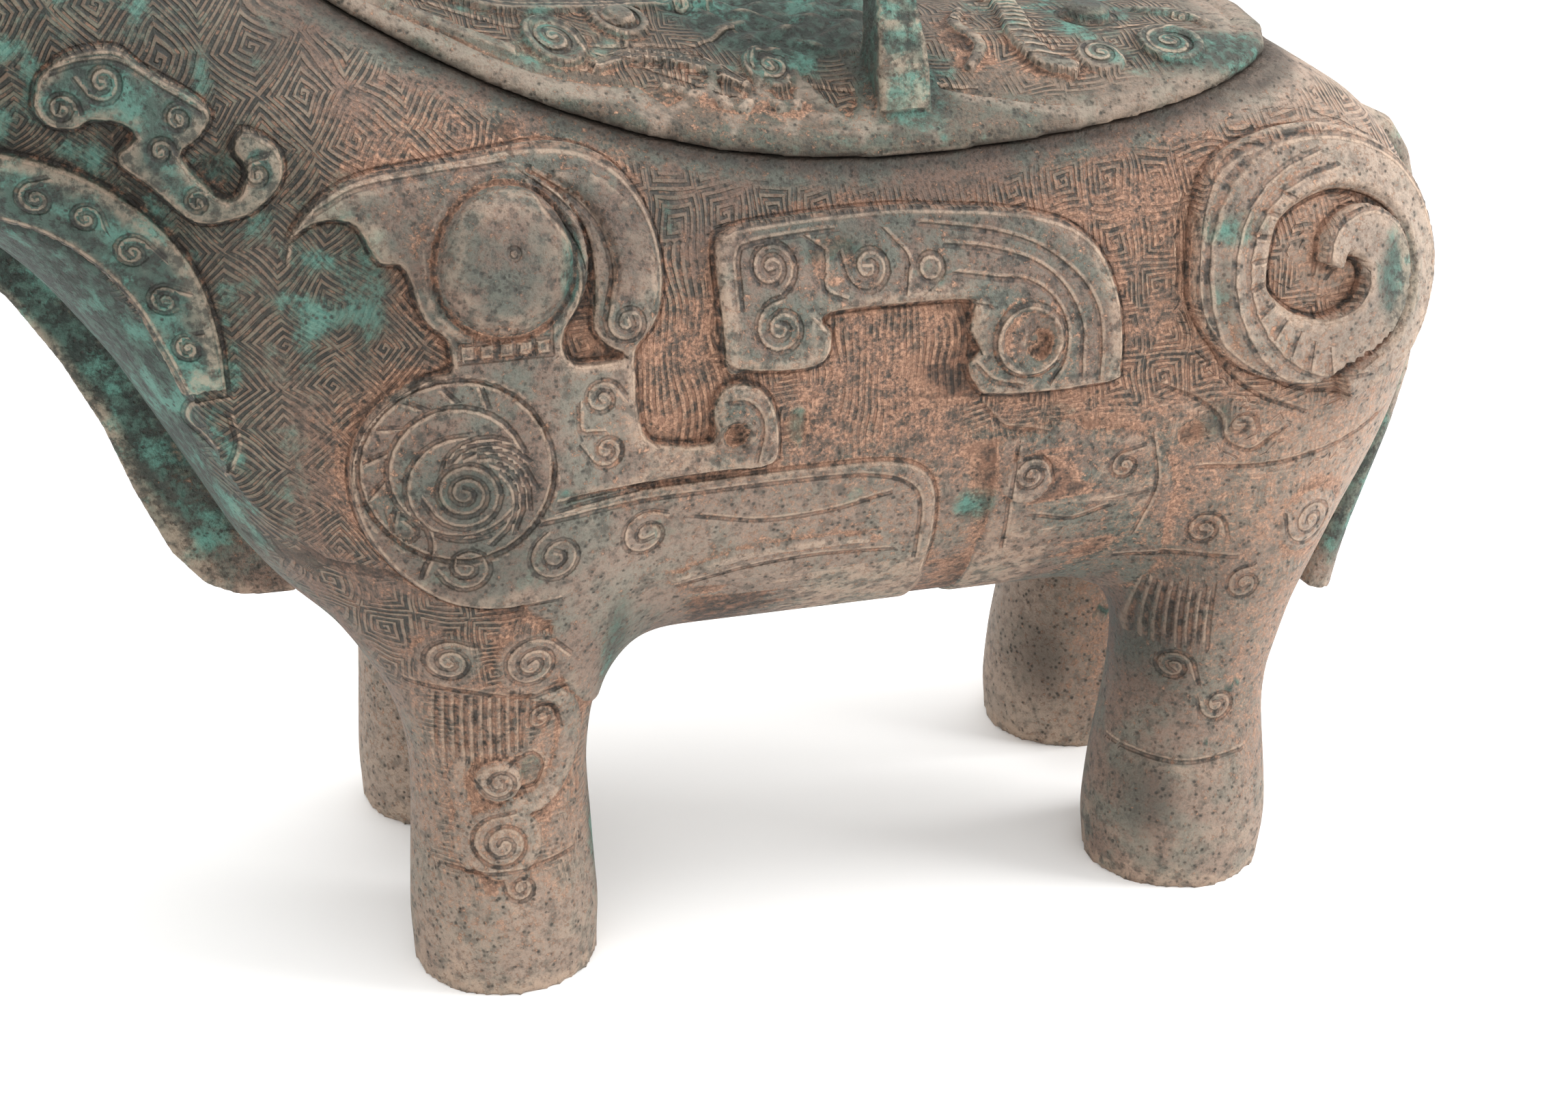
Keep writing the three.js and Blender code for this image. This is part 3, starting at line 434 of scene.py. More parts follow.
dragonPlate = [
    [-29.6, 139.4], [-27, 142], [-20, 142.8], [0, 143], [10, 142.4], [20, 141.4], [27.6, 140], [34, 137.6],
    [38.6, 133.4], [41.2, 127], [42.3, 120], [42.1, 113], [40, 110.2], [19.4, 110], [15.4, 112.2],
    [13.8, 116.2], [16, 118.6], [14.4, 122], [15, 125.8], [13, 127.3], [-10.4, 127.3], [-10.2, 124],
    [-11, 120.2], [-14.8, 118.4], [-25, 119.2], [-29.2, 121.2],
]
bellyPlate = [[-58, 98.8], [-40, 100], [-10, 100], [1, 99.4], [6.4, 97.2], [9, 93], [9.8, 86], [9.8, 76],
              [8, 50], [-20, 48], [-44, 50], [-56, 60], [-60, 76], [-60, 90]]
hindPanel = [[20.4, 100.6], [27, 101.8], [33, 103.6], [36, 101.4], [44, 100], [50, 97], [54, 90],
             [54.6, 80], [54, 66], [40, 50], [21, 50]]
neckPlate = [
    [-135.6, 174.6], [-130.6, 178], [-123.6, 178.3], [-119.6, 175.2], [-111.8, 170], [-109.8, 167.2],
    [-112, 164], [-115, 161.4], [-110.2, 155.2], [-107, 155], [-105.2, 158.8], [-107, 162.2],
    [-105.4, 164.9], [-101.6, 163.4], [-99.4, 160.5], [-99.9, 156.6], [-103.4, 153.1], [-107.4, 151.3],
    [-113.8, 150.9], [-120.2, 156.8], [-124.7, 160.6], [-124.2, 162.9], [-121.8, 164.8], [-123.6, 166.8],
    [-128.2, 167.6], [-131, 166.2], [-135.2, 167.2], [-136.9, 170.6],
]
fullBorder = [[-147, 157.6, 12], [-135, 154.2, 12], [-126, 148.4, 12], [-119.8, 140.6, 11.4],
              [-116.2, 131, 9.4], [-114, 121.4, 6.4]]
fullVolute = turned([[140, 4.6, 3.6], [100, 6.6, 6.4], [60, 8, 9.6], [20, 8.6, 11.4], [-20, 8.6, 11.8],
                     [-60, 9.6, 12], [-90, 11.2, 12], [-120, 14.2, 12], [-150, 17.6, 12.2],
                     [-180, 20.2, 12.4], [-225, 20.6, 12], [-270, 19.4, 9.6], [-315, 19, 8.6],
                     [-360, 19.1, 8], [-405, 19.6, 7], [-450, 20.6, 5.4]],
                    -1, 124.8)

flankForms = [
    plate(1.5, figurePlate), sunk(beakChannel),
    roundel(-65.6, 140.9, [[14.2, 1.4], [13.5, 2.1], [12.5, 2.1], [11.8, 0.9], [11.3, 1.9], [10, 3.6],
                           [8, 4.9], [5.2, 6.0], [2.6, 6.5], [0.1, 6.6]]),
    band(2.3, [[-56, 152.8, 2], [-49.4, 150, 4.6], [-45.2, 145, 6], [-43.4, 138.4, 7],
               [-44.4, 131.6, 7.4]], 0.2),
    roundel(-45.8, 130.4, [[4.2, 2.2], [1, 2.7]]),
    roundel(-75.4, 107.4, [[17, 2.1], [16.5, 2.1], [15.9, 1.4], [15.2, 1.6], [11.2, 1.5], [10.5, 1.0],
                           [8.6, 1.0], [8, 1.5], [3, 1.3], [0.1, 1.8]]),
    plate(1.6, dragonPlate), roundel(25, 119.6,
                                     [[6.6, 2.3], [5.4, 2.4], [4.4, 1.1], [2.6, 1.3], [1.4, 2.1]]),
    plate(0.7, bellyPlate), plate(0.6, hindPanel), plate(1.7, neckPlate), band(1.9, fullBorder, 0.1),
    roundel(-27.4, 108.4, [[3.6, 2.0], [2.6, 2.0], [2.0, 1.0]]), roundel(-54, 89.6, [[14, 0.7], [5, 1.5]]),
    band(1.5, [[-38, 79.4, 1.6], [-27.4, 83.2, 2.2], [-13, 84.4, 2.2], [-2, 83.8, 1.6]]),
    roundel(-77.6, 70, [[5.6, 0.5], [1.5, 0.8]]), roundel(-63.4, 68.6, [[6.6, 0.5], [1.5, 0.8]]),
    roundel(-69.4, 31.8, [[7, 0.8], [4.2, 0.6], [2.4, 1.2]]), roundel(-69.6, 44.4, [[4, 1.2], [1.2, 1.5]]),
    band(0.8, [[-63.5, 61.6, 2], [-58, 59.6, 3.2], [-56, 53, 4], [-57.4, 45.6, 4.4], [-62, 39.8, 4],
               [-68.6, 38.8, 3]]),
    band(0.6, [[-74.4, 50.6, 2], [-76.6, 44, 2.4], [-75.6, 37.5, 2.4], [-77, 31, 2], [-75, 26.6, 1.6]]),
    roundel(26.2, 92.6, [[4.8, 1.3], [1, 1.6]]), roundel(83.4, 76, [[6.4, 0.5], [1, 0.8]]),
]
haunchForms = [band(2.5, fullVolute, 0.1)]

# Pits that the relief is undercut by: place, radius and depth
reliefPits = [(27, 118.6, 3.0, 1.2), (-27.6, 108, 2.6, 0.8), (-9, 135.4, 4.6, 0.6),
              (-110.4, 158.4, 3.2, 0.7), (-16.4, 107.6, 3.2, 0.6), (-63.4, 142.8, 0.9, 0.5),
              (57, 97.6, 3.0, 0.8), (-43, 145.4, 2.0, 0.5)]


def ringLines(x, z, *radii):
    return [arc(x, z, radius, 0, 360) for radius in radii]


# Short strokes across a ring, each leaning over by a small angle
def toothMarks(x, z, radii, angles, lean):
    marks = []
    for inner in np.radians(angles):
        ends = zip(radii, (inner, inner + lean))
        marks.append(np.array([[x + r * math.cos(a), z + r * math.sin(a)] for r, a in ends]))
    return marks


def box(x0, z0, x1, z1):
    return np.array([[x0, z0], [x1, z0], [x1, z1], [x0, z1], [x0, z0]], float)


def hatch(x0, x1, z0, z1, pitch, lean=0):
    return [np.array([[x, z0], [x + lean, z1]], float) for x in np.arange(x0, x1, pitch)]


flankLines = [
    *[curve(outline[::-1] + outline[-1:], 1.2) for outline in (dragonPlate, neckPlate)],
    curve(bellyPlate[7::-1], 1.2),
    curve(figurePlate[33:] + figurePlate[:29], 1.2)[::-1],
    curve(beakChannel + beakChannel[:1], 1.2), *sideLines(fullBorder),
    # boss: pit beside its top, groove down the crescent and its curl, the row of small cells
    arc(-64.6, 144.6, 0.7, 0, 360),
    curve([[-58, 153.6], [-52.4, 149.6], [-48.8, 144.8], [-47.5, 138.6], [-48.8, 133]]),
    spiralLine(-45.8, 130.4, 3.7, 150, 1.6), curve([[-95, 152.2], [-88, 155.2], [-76, 156], [-64, 156.2]]),
    *[box(x, 126.4, x + 2.3, 129) for x in (-73.8, -70.6, -67.4, -64.2, -61.2)],
    # disc: ring of tooth marks, whorl and the curls in the lobe under it
    arc(-75.4, 107.4, 11.3, 20, 320), arc(-75.4, 107.4, 15.9, 0, 360),
    *toothMarks(-75.4, 107.4, (12.4, 14.4), np.arange(64, 215, 25), 0.12),
    *[arc(-73.4, 104.6, 10.2, start, start + 95, 5.6) for start in range(-70, 70, 24)],
    spiralLine(-74.4, 103.8, 6.6, 200, 2.6), arc(-74.8, 104.6, 9.2, 90, 290),
    curve([[-86.6, 99], [-85.8, 96], [-83.6, 95.2], [-82.6, 97.2], [-84, 98.8]]),
    curve([[-85, 100.4], [-81.6, 98.6], [-80.2, 94.4], [-81.6, 89.2]]),
    spiralLine(-74.6, 90.2, 4.7, 200, 1.6), spiralLine(-59.2, 90.2, 5.2, 120, 1.8),
    spiralLine(-43, 90.6, 5, 60, 1.6),
    # panel, foot and belly panel
    spiralLine(-50.6, 117.6, 3.4, 20, 1.5), spiralLine(-50.1, 108.4, 3.2, 200, 1.6),
    curve([[-54.6, 116], [-54.4, 112.4], [-51.6, 111.8]]),
    curve([[-28, 114.4], [-25.4, 114], [-23.2, 111.4], [-22.7, 108], [-23.6, 104]]),
    curve([[-62, 97.2], [-40, 98], [-12, 98], [-2, 97.2], [4, 94.8], [6.6, 90.4], [7.2, 80]]),
    curve([[-33, 93], [-22, 90.6], [-10, 91], [-1, 93]]),
    curve([[-34, 78], [-24, 80.2], [-12, 81.2], [0, 80.6]]),
    # dragon: curls of the crest and jaw, ring, three lines round the bend, eye
    spiralLine(-20.2, 136, 4.5, 300, 1.9), spiralLine(-19.1, 126, 4.9, 90, 1.9),
    spiralLine(-3, 134.4, 4.2, 180, 1.7),
    *ringLines(7.9, 133.4, 2.1), curve([[-26, 132], [-25.8, 138.4], [-23, 140.2], [-10, 140.8]]),
    curve([[-14, 140.4], [-10.6, 137], [-11, 131.6], [-8, 129.8]]),
    curve([[1.6, 138.4], [4, 135.4], [3.6, 132]]),
    curve([[8, 140.2], [19, 138.2], [27.4, 135.2], [34, 130], [37.4, 124.2], [38.2, 117.4], [37.9, 112]]),
    curve([[12, 136.6], [19, 135.4], [26.6, 132.6], [31.6, 128.2], [34.6, 121.6], [34.6, 114.4]]),
    curve([[15, 131.6], [20, 130.6], [25, 129.8], [29.4, 126.6], [31.8, 121.6], [31.4, 115.6],
           [29.4, 112.2]]),
    *ringLines(25, 119.6, 6.2), curve([[15.6, 116], [18.6, 113], [23, 111.8]]),
    # panel before the hind leg
    curve([[18, 107.4], [21.4, 103.6], [26.5, 102.4]]), curve([[24, 98.4], [23.4, 90], [24, 78]]),
    spiralLine(26.6, 93.6, 3.8, 0, 1.7), spiralLine(44.6, 93, 3.0, 90, 1.4),
    curve([[50, 96], [51.4, 88], [49.6, 79]]), curve([[30, 84], [36, 82.6], [42, 84.4]]),
    # neck: curls of the bent dragon and of the border over the fin
    spiralLine(-126, 173.6, 3.3, 200, 1.6), spiralLine(-132.6, 169.8, 2.6, 0, 1.4),
    spiralLine(-115, 167.4, 2.1, 90, 1.3),
    spiralLine(-118.2, 162.6, 2.1, 0, 1.3), spiralLine(-113.2, 154.4, 2.0, 60, 1.3),
    spiralLine(-103.6, 158.4, 2.2, 90, 1.2),
    curve([[-134, 175.6], [-129, 176.8], [-123.4, 176.4], [-117, 172], [-112, 168.6]]),
    spiralLine(-138, 155, 3.2, 90, 1.5), spiralLine(-130.6, 151.8, 2.6, 0, 1.5),
    spiralLine(-124, 146.2, 3.0, 30, 1.5), spiralLine(-119.6, 137.8, 2.8, 60, 1.5),
    spiralLine(-116.6, 129.4, 2.4, 90, 1.5),
    curve([[-112.6, 119.6], [-116.4, 118], [-117.4, 113.6], [-114.6, 110.6]]),
    curve([[-110.6, 116], [-109.8, 111], [-111.2, 106]]),
    # head, which the photo cuts off: plain curls over the cheek and a line along the jaw
    spiralLine(-176, 184, 6, 0, 2.1), spiralLine(-190, 170, 5, 90, 1.9), spiralLine(-163, 170, 5.4, 180, 2),
    curve([[-264, 166], [-246, 163], [-226, 163.4], [-206, 161], [-190, 157.6]]),
    curve([[-236, 184], [-226, 190], [-212, 197.6], [-200, 196], [-194, 190]]),
    # fore leg
    spiralLine(-77.6, 70, 4.6, 60, 1.9), spiralLine(-63.4, 68.6, 5.6, 30, 2.2),
    curve([[-82, 64], [-74, 63.4], [-66, 61.6], [-60, 62]]),
    *hatch(-79.6, -65, 51.4, 62, 1.55), spiralLine(-61.8, 56, 3.0, 0, 1.6),
    spiralLine(-69.6, 44.4, 3.2, 200, 1.5),
    curve([[-66.4, 48.6], [-63.4, 49.4], [-61.4, 46.4], [-63, 42.6], [-66, 42.2]]),
    spiralLine(-69.4, 31.8, 5.6, 90, 2.1),
    curve([[-78, 26.4], [-72, 26], [-64, 26.4], [-57, 27]]), spiralLine(-66.4, 22.2, 2.8, 180, 1.5),
    # hind leg
    spiralLine(83.4, 76, 5.2, 180, 2.0), spiralLine(62.4, 76.6, 3.8, 0, 1.7),
    spiralLine(71, 64.6, 3.6, 90, 1.6),
    curve([[50, 71], [58, 71.6], [66, 71]]), *hatch(54, 66, 54, 62, 1.6), spiralLine(60, 46.6, 3.4, 0, 1.6),
    spiralLine(68.4, 38.6, 3.6, 180, 1.7), curve([[54, 28], [62, 27.2], [72, 28]]),
]
haunchLines = [
    arc(-1, 125, 25, 108, 252), arc(-1, 125, 21.4, 98, 268), arc(-1, 125, 18.4, 92, 276),
    *toothMarks(-1, 125, (15.6, 17.6), np.arange(118, 256, 15), 0.05),
    *sideLines(fullVolute),
    curve([[-30, 107.4], [-25, 104.6], [-21, 100.6], [-19, 95.6], [-14.6, 93.2], [-11, 96]]),
    curve([[-22, 90.6], [-12, 89.8], [0, 91], [14, 94]]), spiralLine(-17, 98.4, 2.4, 0, 1.2),
]


def tableOf(*rows):
    x, value = zip(*rows)
    return lambda at: np.interp(at, x, value)


backHeight = tableOf((-277, 168), (-266, 188), (-228, 197), (-190, 212), (-165, 208), (-135, 202),
                     (-110, 193), (-75, 177), (-40, 166), (50, 162), (78, 160), (93, 149), (105, 136),
                     (118.5, 111))
bellyLine = tableOf((-277, 167), (-264, 155), (-240, 154), (-185, 150), (-165, 148), (-152, 144),
                    (-142, 136), (-129, 119), (-120, 103), (-113, 89), (-106, 77), (-97, 67), (-75, 58),
                    (75, 58), (94, 64), (107, 76), (118.5, 110))
sideReach = tableOf((-277, 1), (-268, 19), (-222, 24), (-182, 34), (-140, 37), (-98, 48), (-75, 52),
                    (50, 52), (86, 46), (99, 38), (109, 26), (118.5, 1))


def rimHeight(x):
    d = x - vesselBronze["rimLowAt"]
    return vesselBronze["rimLow"] + np.where(d < 0, 0.00335, 0.0014) * d * d


# How far below the mouth's rim a point is, and well below it before and behind the mouth
def depthUnderRim(x, z):
    front, end = vesselBronze["mouth"]
    return np.where((x > front) & (x < end), rimHeight(x) - z, 9)


def workingMm(points):
    mm = points * 1000
    mm[:, 0] -= originShift
    return mm


# False for the skin of the hollow
def outsideOf(mm, normal):
    x, y, z = mm.T
    middle = (backHeight(x) + bellyLine(x)) / 2
    outward = normal[:, 1] * y + normal[:, 2] * (z - middle) + normal[:, 0] * np.clip(x - 95, 0, 40)
    inTrunk = (z > bellyLine(x) + 2.2) & (z < backHeight(x) - 2.2) & (x < 116)
    return ~((outward < 0) & inTrunk & (np.abs(y) < sideReach(x) - 2.2))


def haunchSheet(mm):
    turn = math.radians(vesselBronze["haunchTurn"])
    x0, y0 = vesselBronze["haunchAt"]
    across = (mm[:, 0] - x0) * math.cos(turn) + (-np.abs(mm[:, 1]) - y0) * math.sin(turn)
    return np.column_stack([across, mm[:, 2]])


# How squarely the skin faces a sheet that is turned by so many degrees towards the tail
def facing(mm, normal, turn=0):
    turn = math.radians(turn)
    side = np.where(mm[:, 1] < 0, -1, 1)
    return normal[:, 0] * math.sin(turn) + normal[:, 1] * side * math.cos(turn)


# Shares of the flank's and the haunch's ornament that the skin takes
def sheetShares(mm, normal, outside):
    legs = (mm[:, 2] > vesselBronze["legTop"]) | (np.abs(mm[:, 1]) > vesselBronze["legInside"])
    onHaunch = (mm[:, 0] > 42) & (mm[:, 2] > 88)
    sideOn = ramp(facing(mm, normal), 0.08, 0.3) * outside * legs
    return sideOn, ramp(facing(mm, normal, vesselBronze["haunchTurn"]), 0.08, 0.3) * outside * onHaunch


print("vessel: even mesh")
vessel = copyOfNode("vessel", "vesselBronze")
evenMesh(vessel, vesselBronze["cell"])
mesh = vessel.data
points = vertexArray(mesh)
edges = edgeArray(mesh)
mm = workingMm(points)
normal = vertexArray(mesh, "normal")
outside = outsideOf(mm, normal)
sideOn, haunchOn = sheetShares(mm, normal, outside)
onFlank = (sideOn > vesselBronze["castShare"]) & (mm[:, 0] < 62)
onHaunch = haunchOn > vesselBronze["castShare"]
print("vessel:", len(points), "vertices")

print("vessel: bare skin")
softNormal = unit(relaxed(normal, edges, 6))
height = np.zeros(len(points))
height[onFlank] = raisedHeight(mm[onFlank][:, [0, 2]], castFlank)
height[onHaunch] = np.maximum(height[onHaunch], raisedHeight(haunchSheet(mm[onHaunch]), castHaunch))
x, y, z = mm.T
away = np.abs(y)
belowRim = depthUnderRim(x, z)
bare = outside * ramp(belowRim, 0.4, 3.2) * ramp(z, 1.5, 5)
bare *= 1 - ((x < -125) & ((z > backHeight(x) + 0.6) | (away > sideReach(x) + 1.5)))
bare *= ~((away < 9) & (x > 104)) & ~((away < 4.2) & (z < bellyLine(x) + 1.5) & (x > -184) & (x < -90))
bare *= (x > -242) & ~((np.abs(x + 214) < 10) & (np.abs(z - 188.5) < 10) & (away > 15))
points = points - softNormal * (height / 1000)[:, None]
points = relaxed(points, edges, vesselBronze["settle"], bare)
points = relaxed(points, edges, 2, ramp(belowRim, 0.2, 1.2) * ramp(z, 0.3, 1.2) * outside)
setVertices(mesh, points)
skinNormal = unit(relaxed(vertexArray(mesh, "normal"), edges, 4))

print("vessel: relief")
mm = workingMm(points)
x, y, z = mm.T
flankPoints = mm[:, [0, 2]]
haunchPoints = haunchSheet(mm)
sideOn, haunchOn = sheetShares(mm, skinNormal, outside)
relief = np.zeros(len(points))
cut = np.zeros(len(points))
for share, sheet, forms, lines, side in ((sideOn, flankPoints, flankForms, flankLines, "flank"),
                                        (haunchOn, haunchPoints, haunchForms, haunchLines, "haunch")):
    chosen = share > 0
    stood = raisedHeight(sheet[chosen], forms, vesselBronze[side + "Edge"]) * share[chosen]
    relief[chosen] = np.maximum(relief[chosen], stood)
    width, depth = vesselBronze[side + "LineWidth"], vesselBronze[side + "LineDepth"]
    cut[chosen] = np.maximum(cut[chosen], cutDepth(sheet[chosen], lines, width, depth))
for px, pz, radius, deep in reliefPits:
    cut = np.maximum(cut, deep * ramp(radius - np.hypot(x - px, z - pz), -0.6, 1.2) * sideOn)
points = points + skinNormal * ((relief - cut * np.clip(sideOn + haunchOn, 0, 1)) / 1000)[:, None]
setVertices(mesh, points)

print("vessel: fewer triangles")
fewerTriangles(vessel, vesselBronze["triangles"])

print("vessel: marks for the patina")
mesh = vessel.data
points = vertexArray(mesh)
edges = edgeArray(mesh)
mm = workingMm(points)
x, y, z = mm.T
normal = vertexArray(mesh, "normal")
outside = outsideOf(mm, normal)
softNormal = unit(relaxed(normal, edges, 3))
sideOn, haunchOn = sheetShares(mm, softNormal, outside)
raised = raisedHeight(mm[:, [0, 2]], flankForms, vesselBronze["flankEdge"]) * sideOn
onHaunch = raisedHeight(haunchSheet(mm), haunchForms, vesselBronze["haunchEdge"]) * haunchOn
raised = np.maximum(raised, onHaunch)
settled = relaxed(points, edges, 8)
cavity = ((settled - points) * softNormal).sum(1) * 1000
# malachite, loess, dark oxide and dust where the real vessel has them, then the patterned ground
green = spots(x, z, [(-142, 165, 54, 44, 1.15), (-142, 122, 46, 50, 1.15), (-118, 100, 24, 50, 0.85),
                     (-132, 172, 14, 10, 1.1), (-104, 158, 18, 12, 1.0), (-94, 138, 16, 26, 0.85),
                     (17, 88, 5.4, 6, 0.84), (-9, 137.4, 8, 2.6, 0.9), (-16.6, 108, 2.6, 6, 0.74),
                     (-47, 66, 5, 24, 0.78), (-49, 30, 5, 28, 0.84), (-64, 46, 3, 4, 0.8),
                     (-54.6, 140, 3.4, 9, 1.0), (-6, 94, 30, 4, 0.55), (-40, 91, 6, 5, 0.6),
                     (10, 132, 14, 8, 0.55), (112, 66, 12, 26, 1.1), (-92, 144, 9, 6, 0.9),
                     (-37, 146, 4, 8, 0.8), (-57, 101, 4, 3, 0.8), (62, 136, 12, 5, 0.72),
                     (60, 124, 5, 8, 0.66), (96, 122, 8, 14, 0.95), (114, 100, 10, 44, 1.1),
                     (71, 42, 2.4, 2, 1.0), (68, 31, 3, 2, 0.95), (-66, 90, 26, 9, 0.62),
                     (-74, 104, 11, 8, 0.7), (62, 100, 6, 6, 0.85), (30, 106, 9, 3, 0.7),
                     (-230, 180, 50, 44, 0.9), (-30, 152, 60, 4, 0.5)])
earth = spots(x, z, [(10, 104, 66, 40, 0.75), (70, 96, 48, 46, 0.85), (-36, 112, 24, 26, 0.8),
                     (-68, 40, 26, 46, 0.75), (-88, 110, 12, 34, 0.6), (86, 50, 30, 44, 0.85),
                     (60, 140, 46, 14, 0.8), (-60, 158, 60, 10, 0.6), (-68, 130, 12, 4, 0.9),
                     (-82, 148, 10, 8, 0.6)])
earth = np.maximum(earth, spots(x, z, [(80, 30, 26, 50, 1.1)]) * (y > 10))
dark = spots(x, z, [(57, 52, 7, 15, 0.7), (62, 66, 14, 8, 0.35), (56, 20, 5, 9, 0.7),
                    (-110, 158, 3, 3, 0.9), (-74, 104, 8, 7, 0.5), (-20, 146, 80, 9, 0.42),
                    (-56, 144, 16, 14, 0.4), (-120, 160, 26, 30, 0.45), (-70, 92, 16, 14, 0.4),
                    (88, 118, 10, 20, 0.35), (-86, 138, 10, 12, 0.4), (80, 44, 60, 30, 0.1),
                    (-97, 176, 12, 5, 0.6)])
ground = outside * ramp(z, 19, 27) * ramp(np.abs(y), 5, 10) * (1 - ramp(x, 104, 112)) * (x > -240)
ground *= 1 - ramp(z - backHeight(x), 0, 2) * (x < -125)
belowRim = depthUnderRim(x, z)
ground *= ramp(facing(mm, softNormal, 10), 0.15, 0.45) * ramp(belowRim, 3.4, 5.4)
ground *= 1 - ramp(60 - z, -6, 2) * (np.abs(y) < 20)
ground *= 1 - ramp(104 - z, -6, 6) * ramp(x, -40, -20) * 0.8
ground *= 1 - ramp(62 - z, -4, 10) * 0.6
borderEdge = np.interp(z, (95, 121, 131, 141, 148, 154, 158, 170),
                       (-112, -116, -121, -127, -132, -137, -152, -300))
ground *= ramp(x - borderEdge, -2, 0)
dust = spots(x, z, [(94, 128, 34, 40, 1.0), (98, 88, 36, 34, 0.95), (-68, 20, 30, 50, 0.75),
                    (84, 16, 34, 34, 0.55), (-20, 84, 50, 16, 0.5), (-50, 114, 10, 14, 0.35),
                    (72, 112, 20, 30, 0.6), (92, 52, 26, 34, 0.75)])
besideDragon = (x > -44.5) & (x < -31) & (z < 141)
hatched = (z > 101) & (besideDragon | (x > -10.4) & (x < 15) & (z < 127.3))
storeValues(mesh, {
    "dust": np.maximum(dust, 0.95 * ramp(y, 4, 14) * ramp(70 - z, 0, 24)),
    "hatched": hatched,
    "raised": raised,
    "cavity": cavity,
    "green": green,
    "earth": earth,
    # dark: oxide patches, plus painted shade in a band round the rim's height, where the lid's edge
    # overhangs the gap
    "dark": np.maximum(dark, 1 - ramp(np.abs(belowRim), 1.2, 3.0)),
    "ground": ground * (1 - ramp(raised, 0.2, 0.8)),
    "turn": math.pi / 4 * (((x < -62) & (z > 118)) | ((x < -84) & (z > 88))),
})
faceMm = workingMm(faceArray(mesh, "center"))
faceNormals = faceArray(mesh, "normal")
faceFlank, faceHaunch = sheetShares(faceMm, faceNormals, outsideOf(faceMm, faceNormals))
faceFlank, faceHaunch = (share > vesselBronze["lineShare"] for share in (faceFlank, faceHaunch))
flankGap = lineDistances(mesh, mm[:, [0, 2]], faceFlank, flankLines)
haunchGap = lineDistances(mesh, haunchSheet(mm), faceHaunch, haunchLines)
nearGap = np.where(np.abs(haunchGap) < np.abs(flankGap), haunchGap, flankGap)
storeValues(mesh, {"line": nearGap}, "CORNER")


lidBronze = {
    "cell": 0.62,
    "triangles": 118000,
    "settle": 16,
    "lineWidth": 0.45,
    "lineDepth": 0.3,
    "plateEdge": 0.6,
    "borderWidth": 5.8,
    "crown": 13.5,
    "rise": 3.15,
    "roughReach": 20,
}

lidSweep = [[-88, -12, 2], [-74, -14, 5], [-60, -15, 6], [-47, -11, 6], [-32, -5, 6], [-19, -3, 4]]
lidHook = [[-45, -27.5, 2], [-36, -23, 3.4], [-26, -24, 3.4], [-18, -28.5, 2]]
lidHorn = [[36.5, -1.5, 4.6], [35.4, -10, 5], [34.2, -19, 5], [36, -25.5, 4.6], [41, -29, 3]]
castLid = [
    roundel(-50.5, -22.5, [[5.6, 1.2], [2.4, 0.6]]), roundel(-37.5, -13.5, [[5.4, 1.2], [2.2, 2.2]]),
    roundel(-13, -23.5, [[5, 1.1], [2.2, 0.5]]), roundel(50, -9, [[4.2, 1.2], [2.6, 2.4]]),
    roundel(61, -22.5, [[6, 1.1], [3, 0.4]]), band(1.2, lidSweep), band(1.1, lidHook), band(1.3, lidHorn),
]
lidForms = [
    roundel(-50.5, -22.5, [[5.6, 1.2], [4.4, 1.2], [3.6, 0.7], [1.6, 1.0]]),
    roundel(-37.5, -13.5, [[5.4, 1.2], [4, 1.2], [3.2, 0.9], [2.2, 2.2], [0.4, 2.4]]),
    roundel(-13, -23.5, [[5, 1.1], [2.2, 0.7]]), roundel(50, -9, [[4.2, 1.2], [2.6, 2.3], [0.4, 2.6]]),
    roundel(61, -22.5, [[6, 1.1], [4.6, 1.1], [3.8, 0.6], [1.6, 1.0]]),
    roundel(46.6, -25.4, [[4.4, 0.9], [1, 1.1]]),
    band(1.2, lidSweep, 0.1), band(1.1, lidHook, 0.1), band(1.4, lidHorn, 0.3),
    band(0.9, [[-80, -22, 1.4], [-68, -25, 2.2], [-58, -27, 2.2]]),
    band(1.0, [[-34, -29.6, 1.6], [-20, -32, 2.4], [-6, -31, 1.6]]),
    band(0.9, [[22, -26, 1.6], [26, -20, 2.4], [24, -12, 2.4], [27, -5, 1.6]]),
    band(0.9, [[60, -6, 1.6], [68, -9, 2.4], [72, -16, 1.6]]),
]
lidLines = [
    insetLines(lidSweep, 1.2), insetLines(lidSweep, 2.2), insetLines(lidHook, 0.9),
    spiralLine(-50.5, -22.5, 4.6, 0, 1.8), *ringLines(-37.5, -13.5, 3.4),
    spiralLine(-13, -23.5, 4.2, 90, 1.8),
    *[np.array([[33 + 0.2 * i, -1.5 - 2.2 * i], [38.4 + 0.1 * i, -2.6 - 2.2 * i]]) for i in range(12)],
    spiralLine(46.6, -25.4, 3.8, 0, 1.6), spiralLine(61, -22.5, 5, 90, 1.9), *ringLines(50, -9, 5.2),
    curve([[-42, -22], [-34, -20], [-26, -19], [-19, -15]]),
    curve([[-42, -24.6], [-33, -26.4], [-22, -30]]),
    *hatch(-39, -24, -25, -20.4, 1.5, 0.6), curve([[-84, -6], [-70, -7.6], [-56, -8], [-46, -5]]),
    curve([[-78, -18.6], [-66, -20.6], [-57, -21]]), curve([[52, -16], [58, -14.6], [66, -16.4]]),
    spiralLine(67.6, -10.6, 2.4, 0, 1.4), spiralLine(26, -9.6, 2.6, 90, 1.4),
    spiralLine(-66, -14.6, 2.2, 0, 1.3),
    spiralLine(-24, -6, 2.4, 60, 1.3), curve([[-8, -27.4], [2, -29], [12, -28.4], [20, -30]]),
]

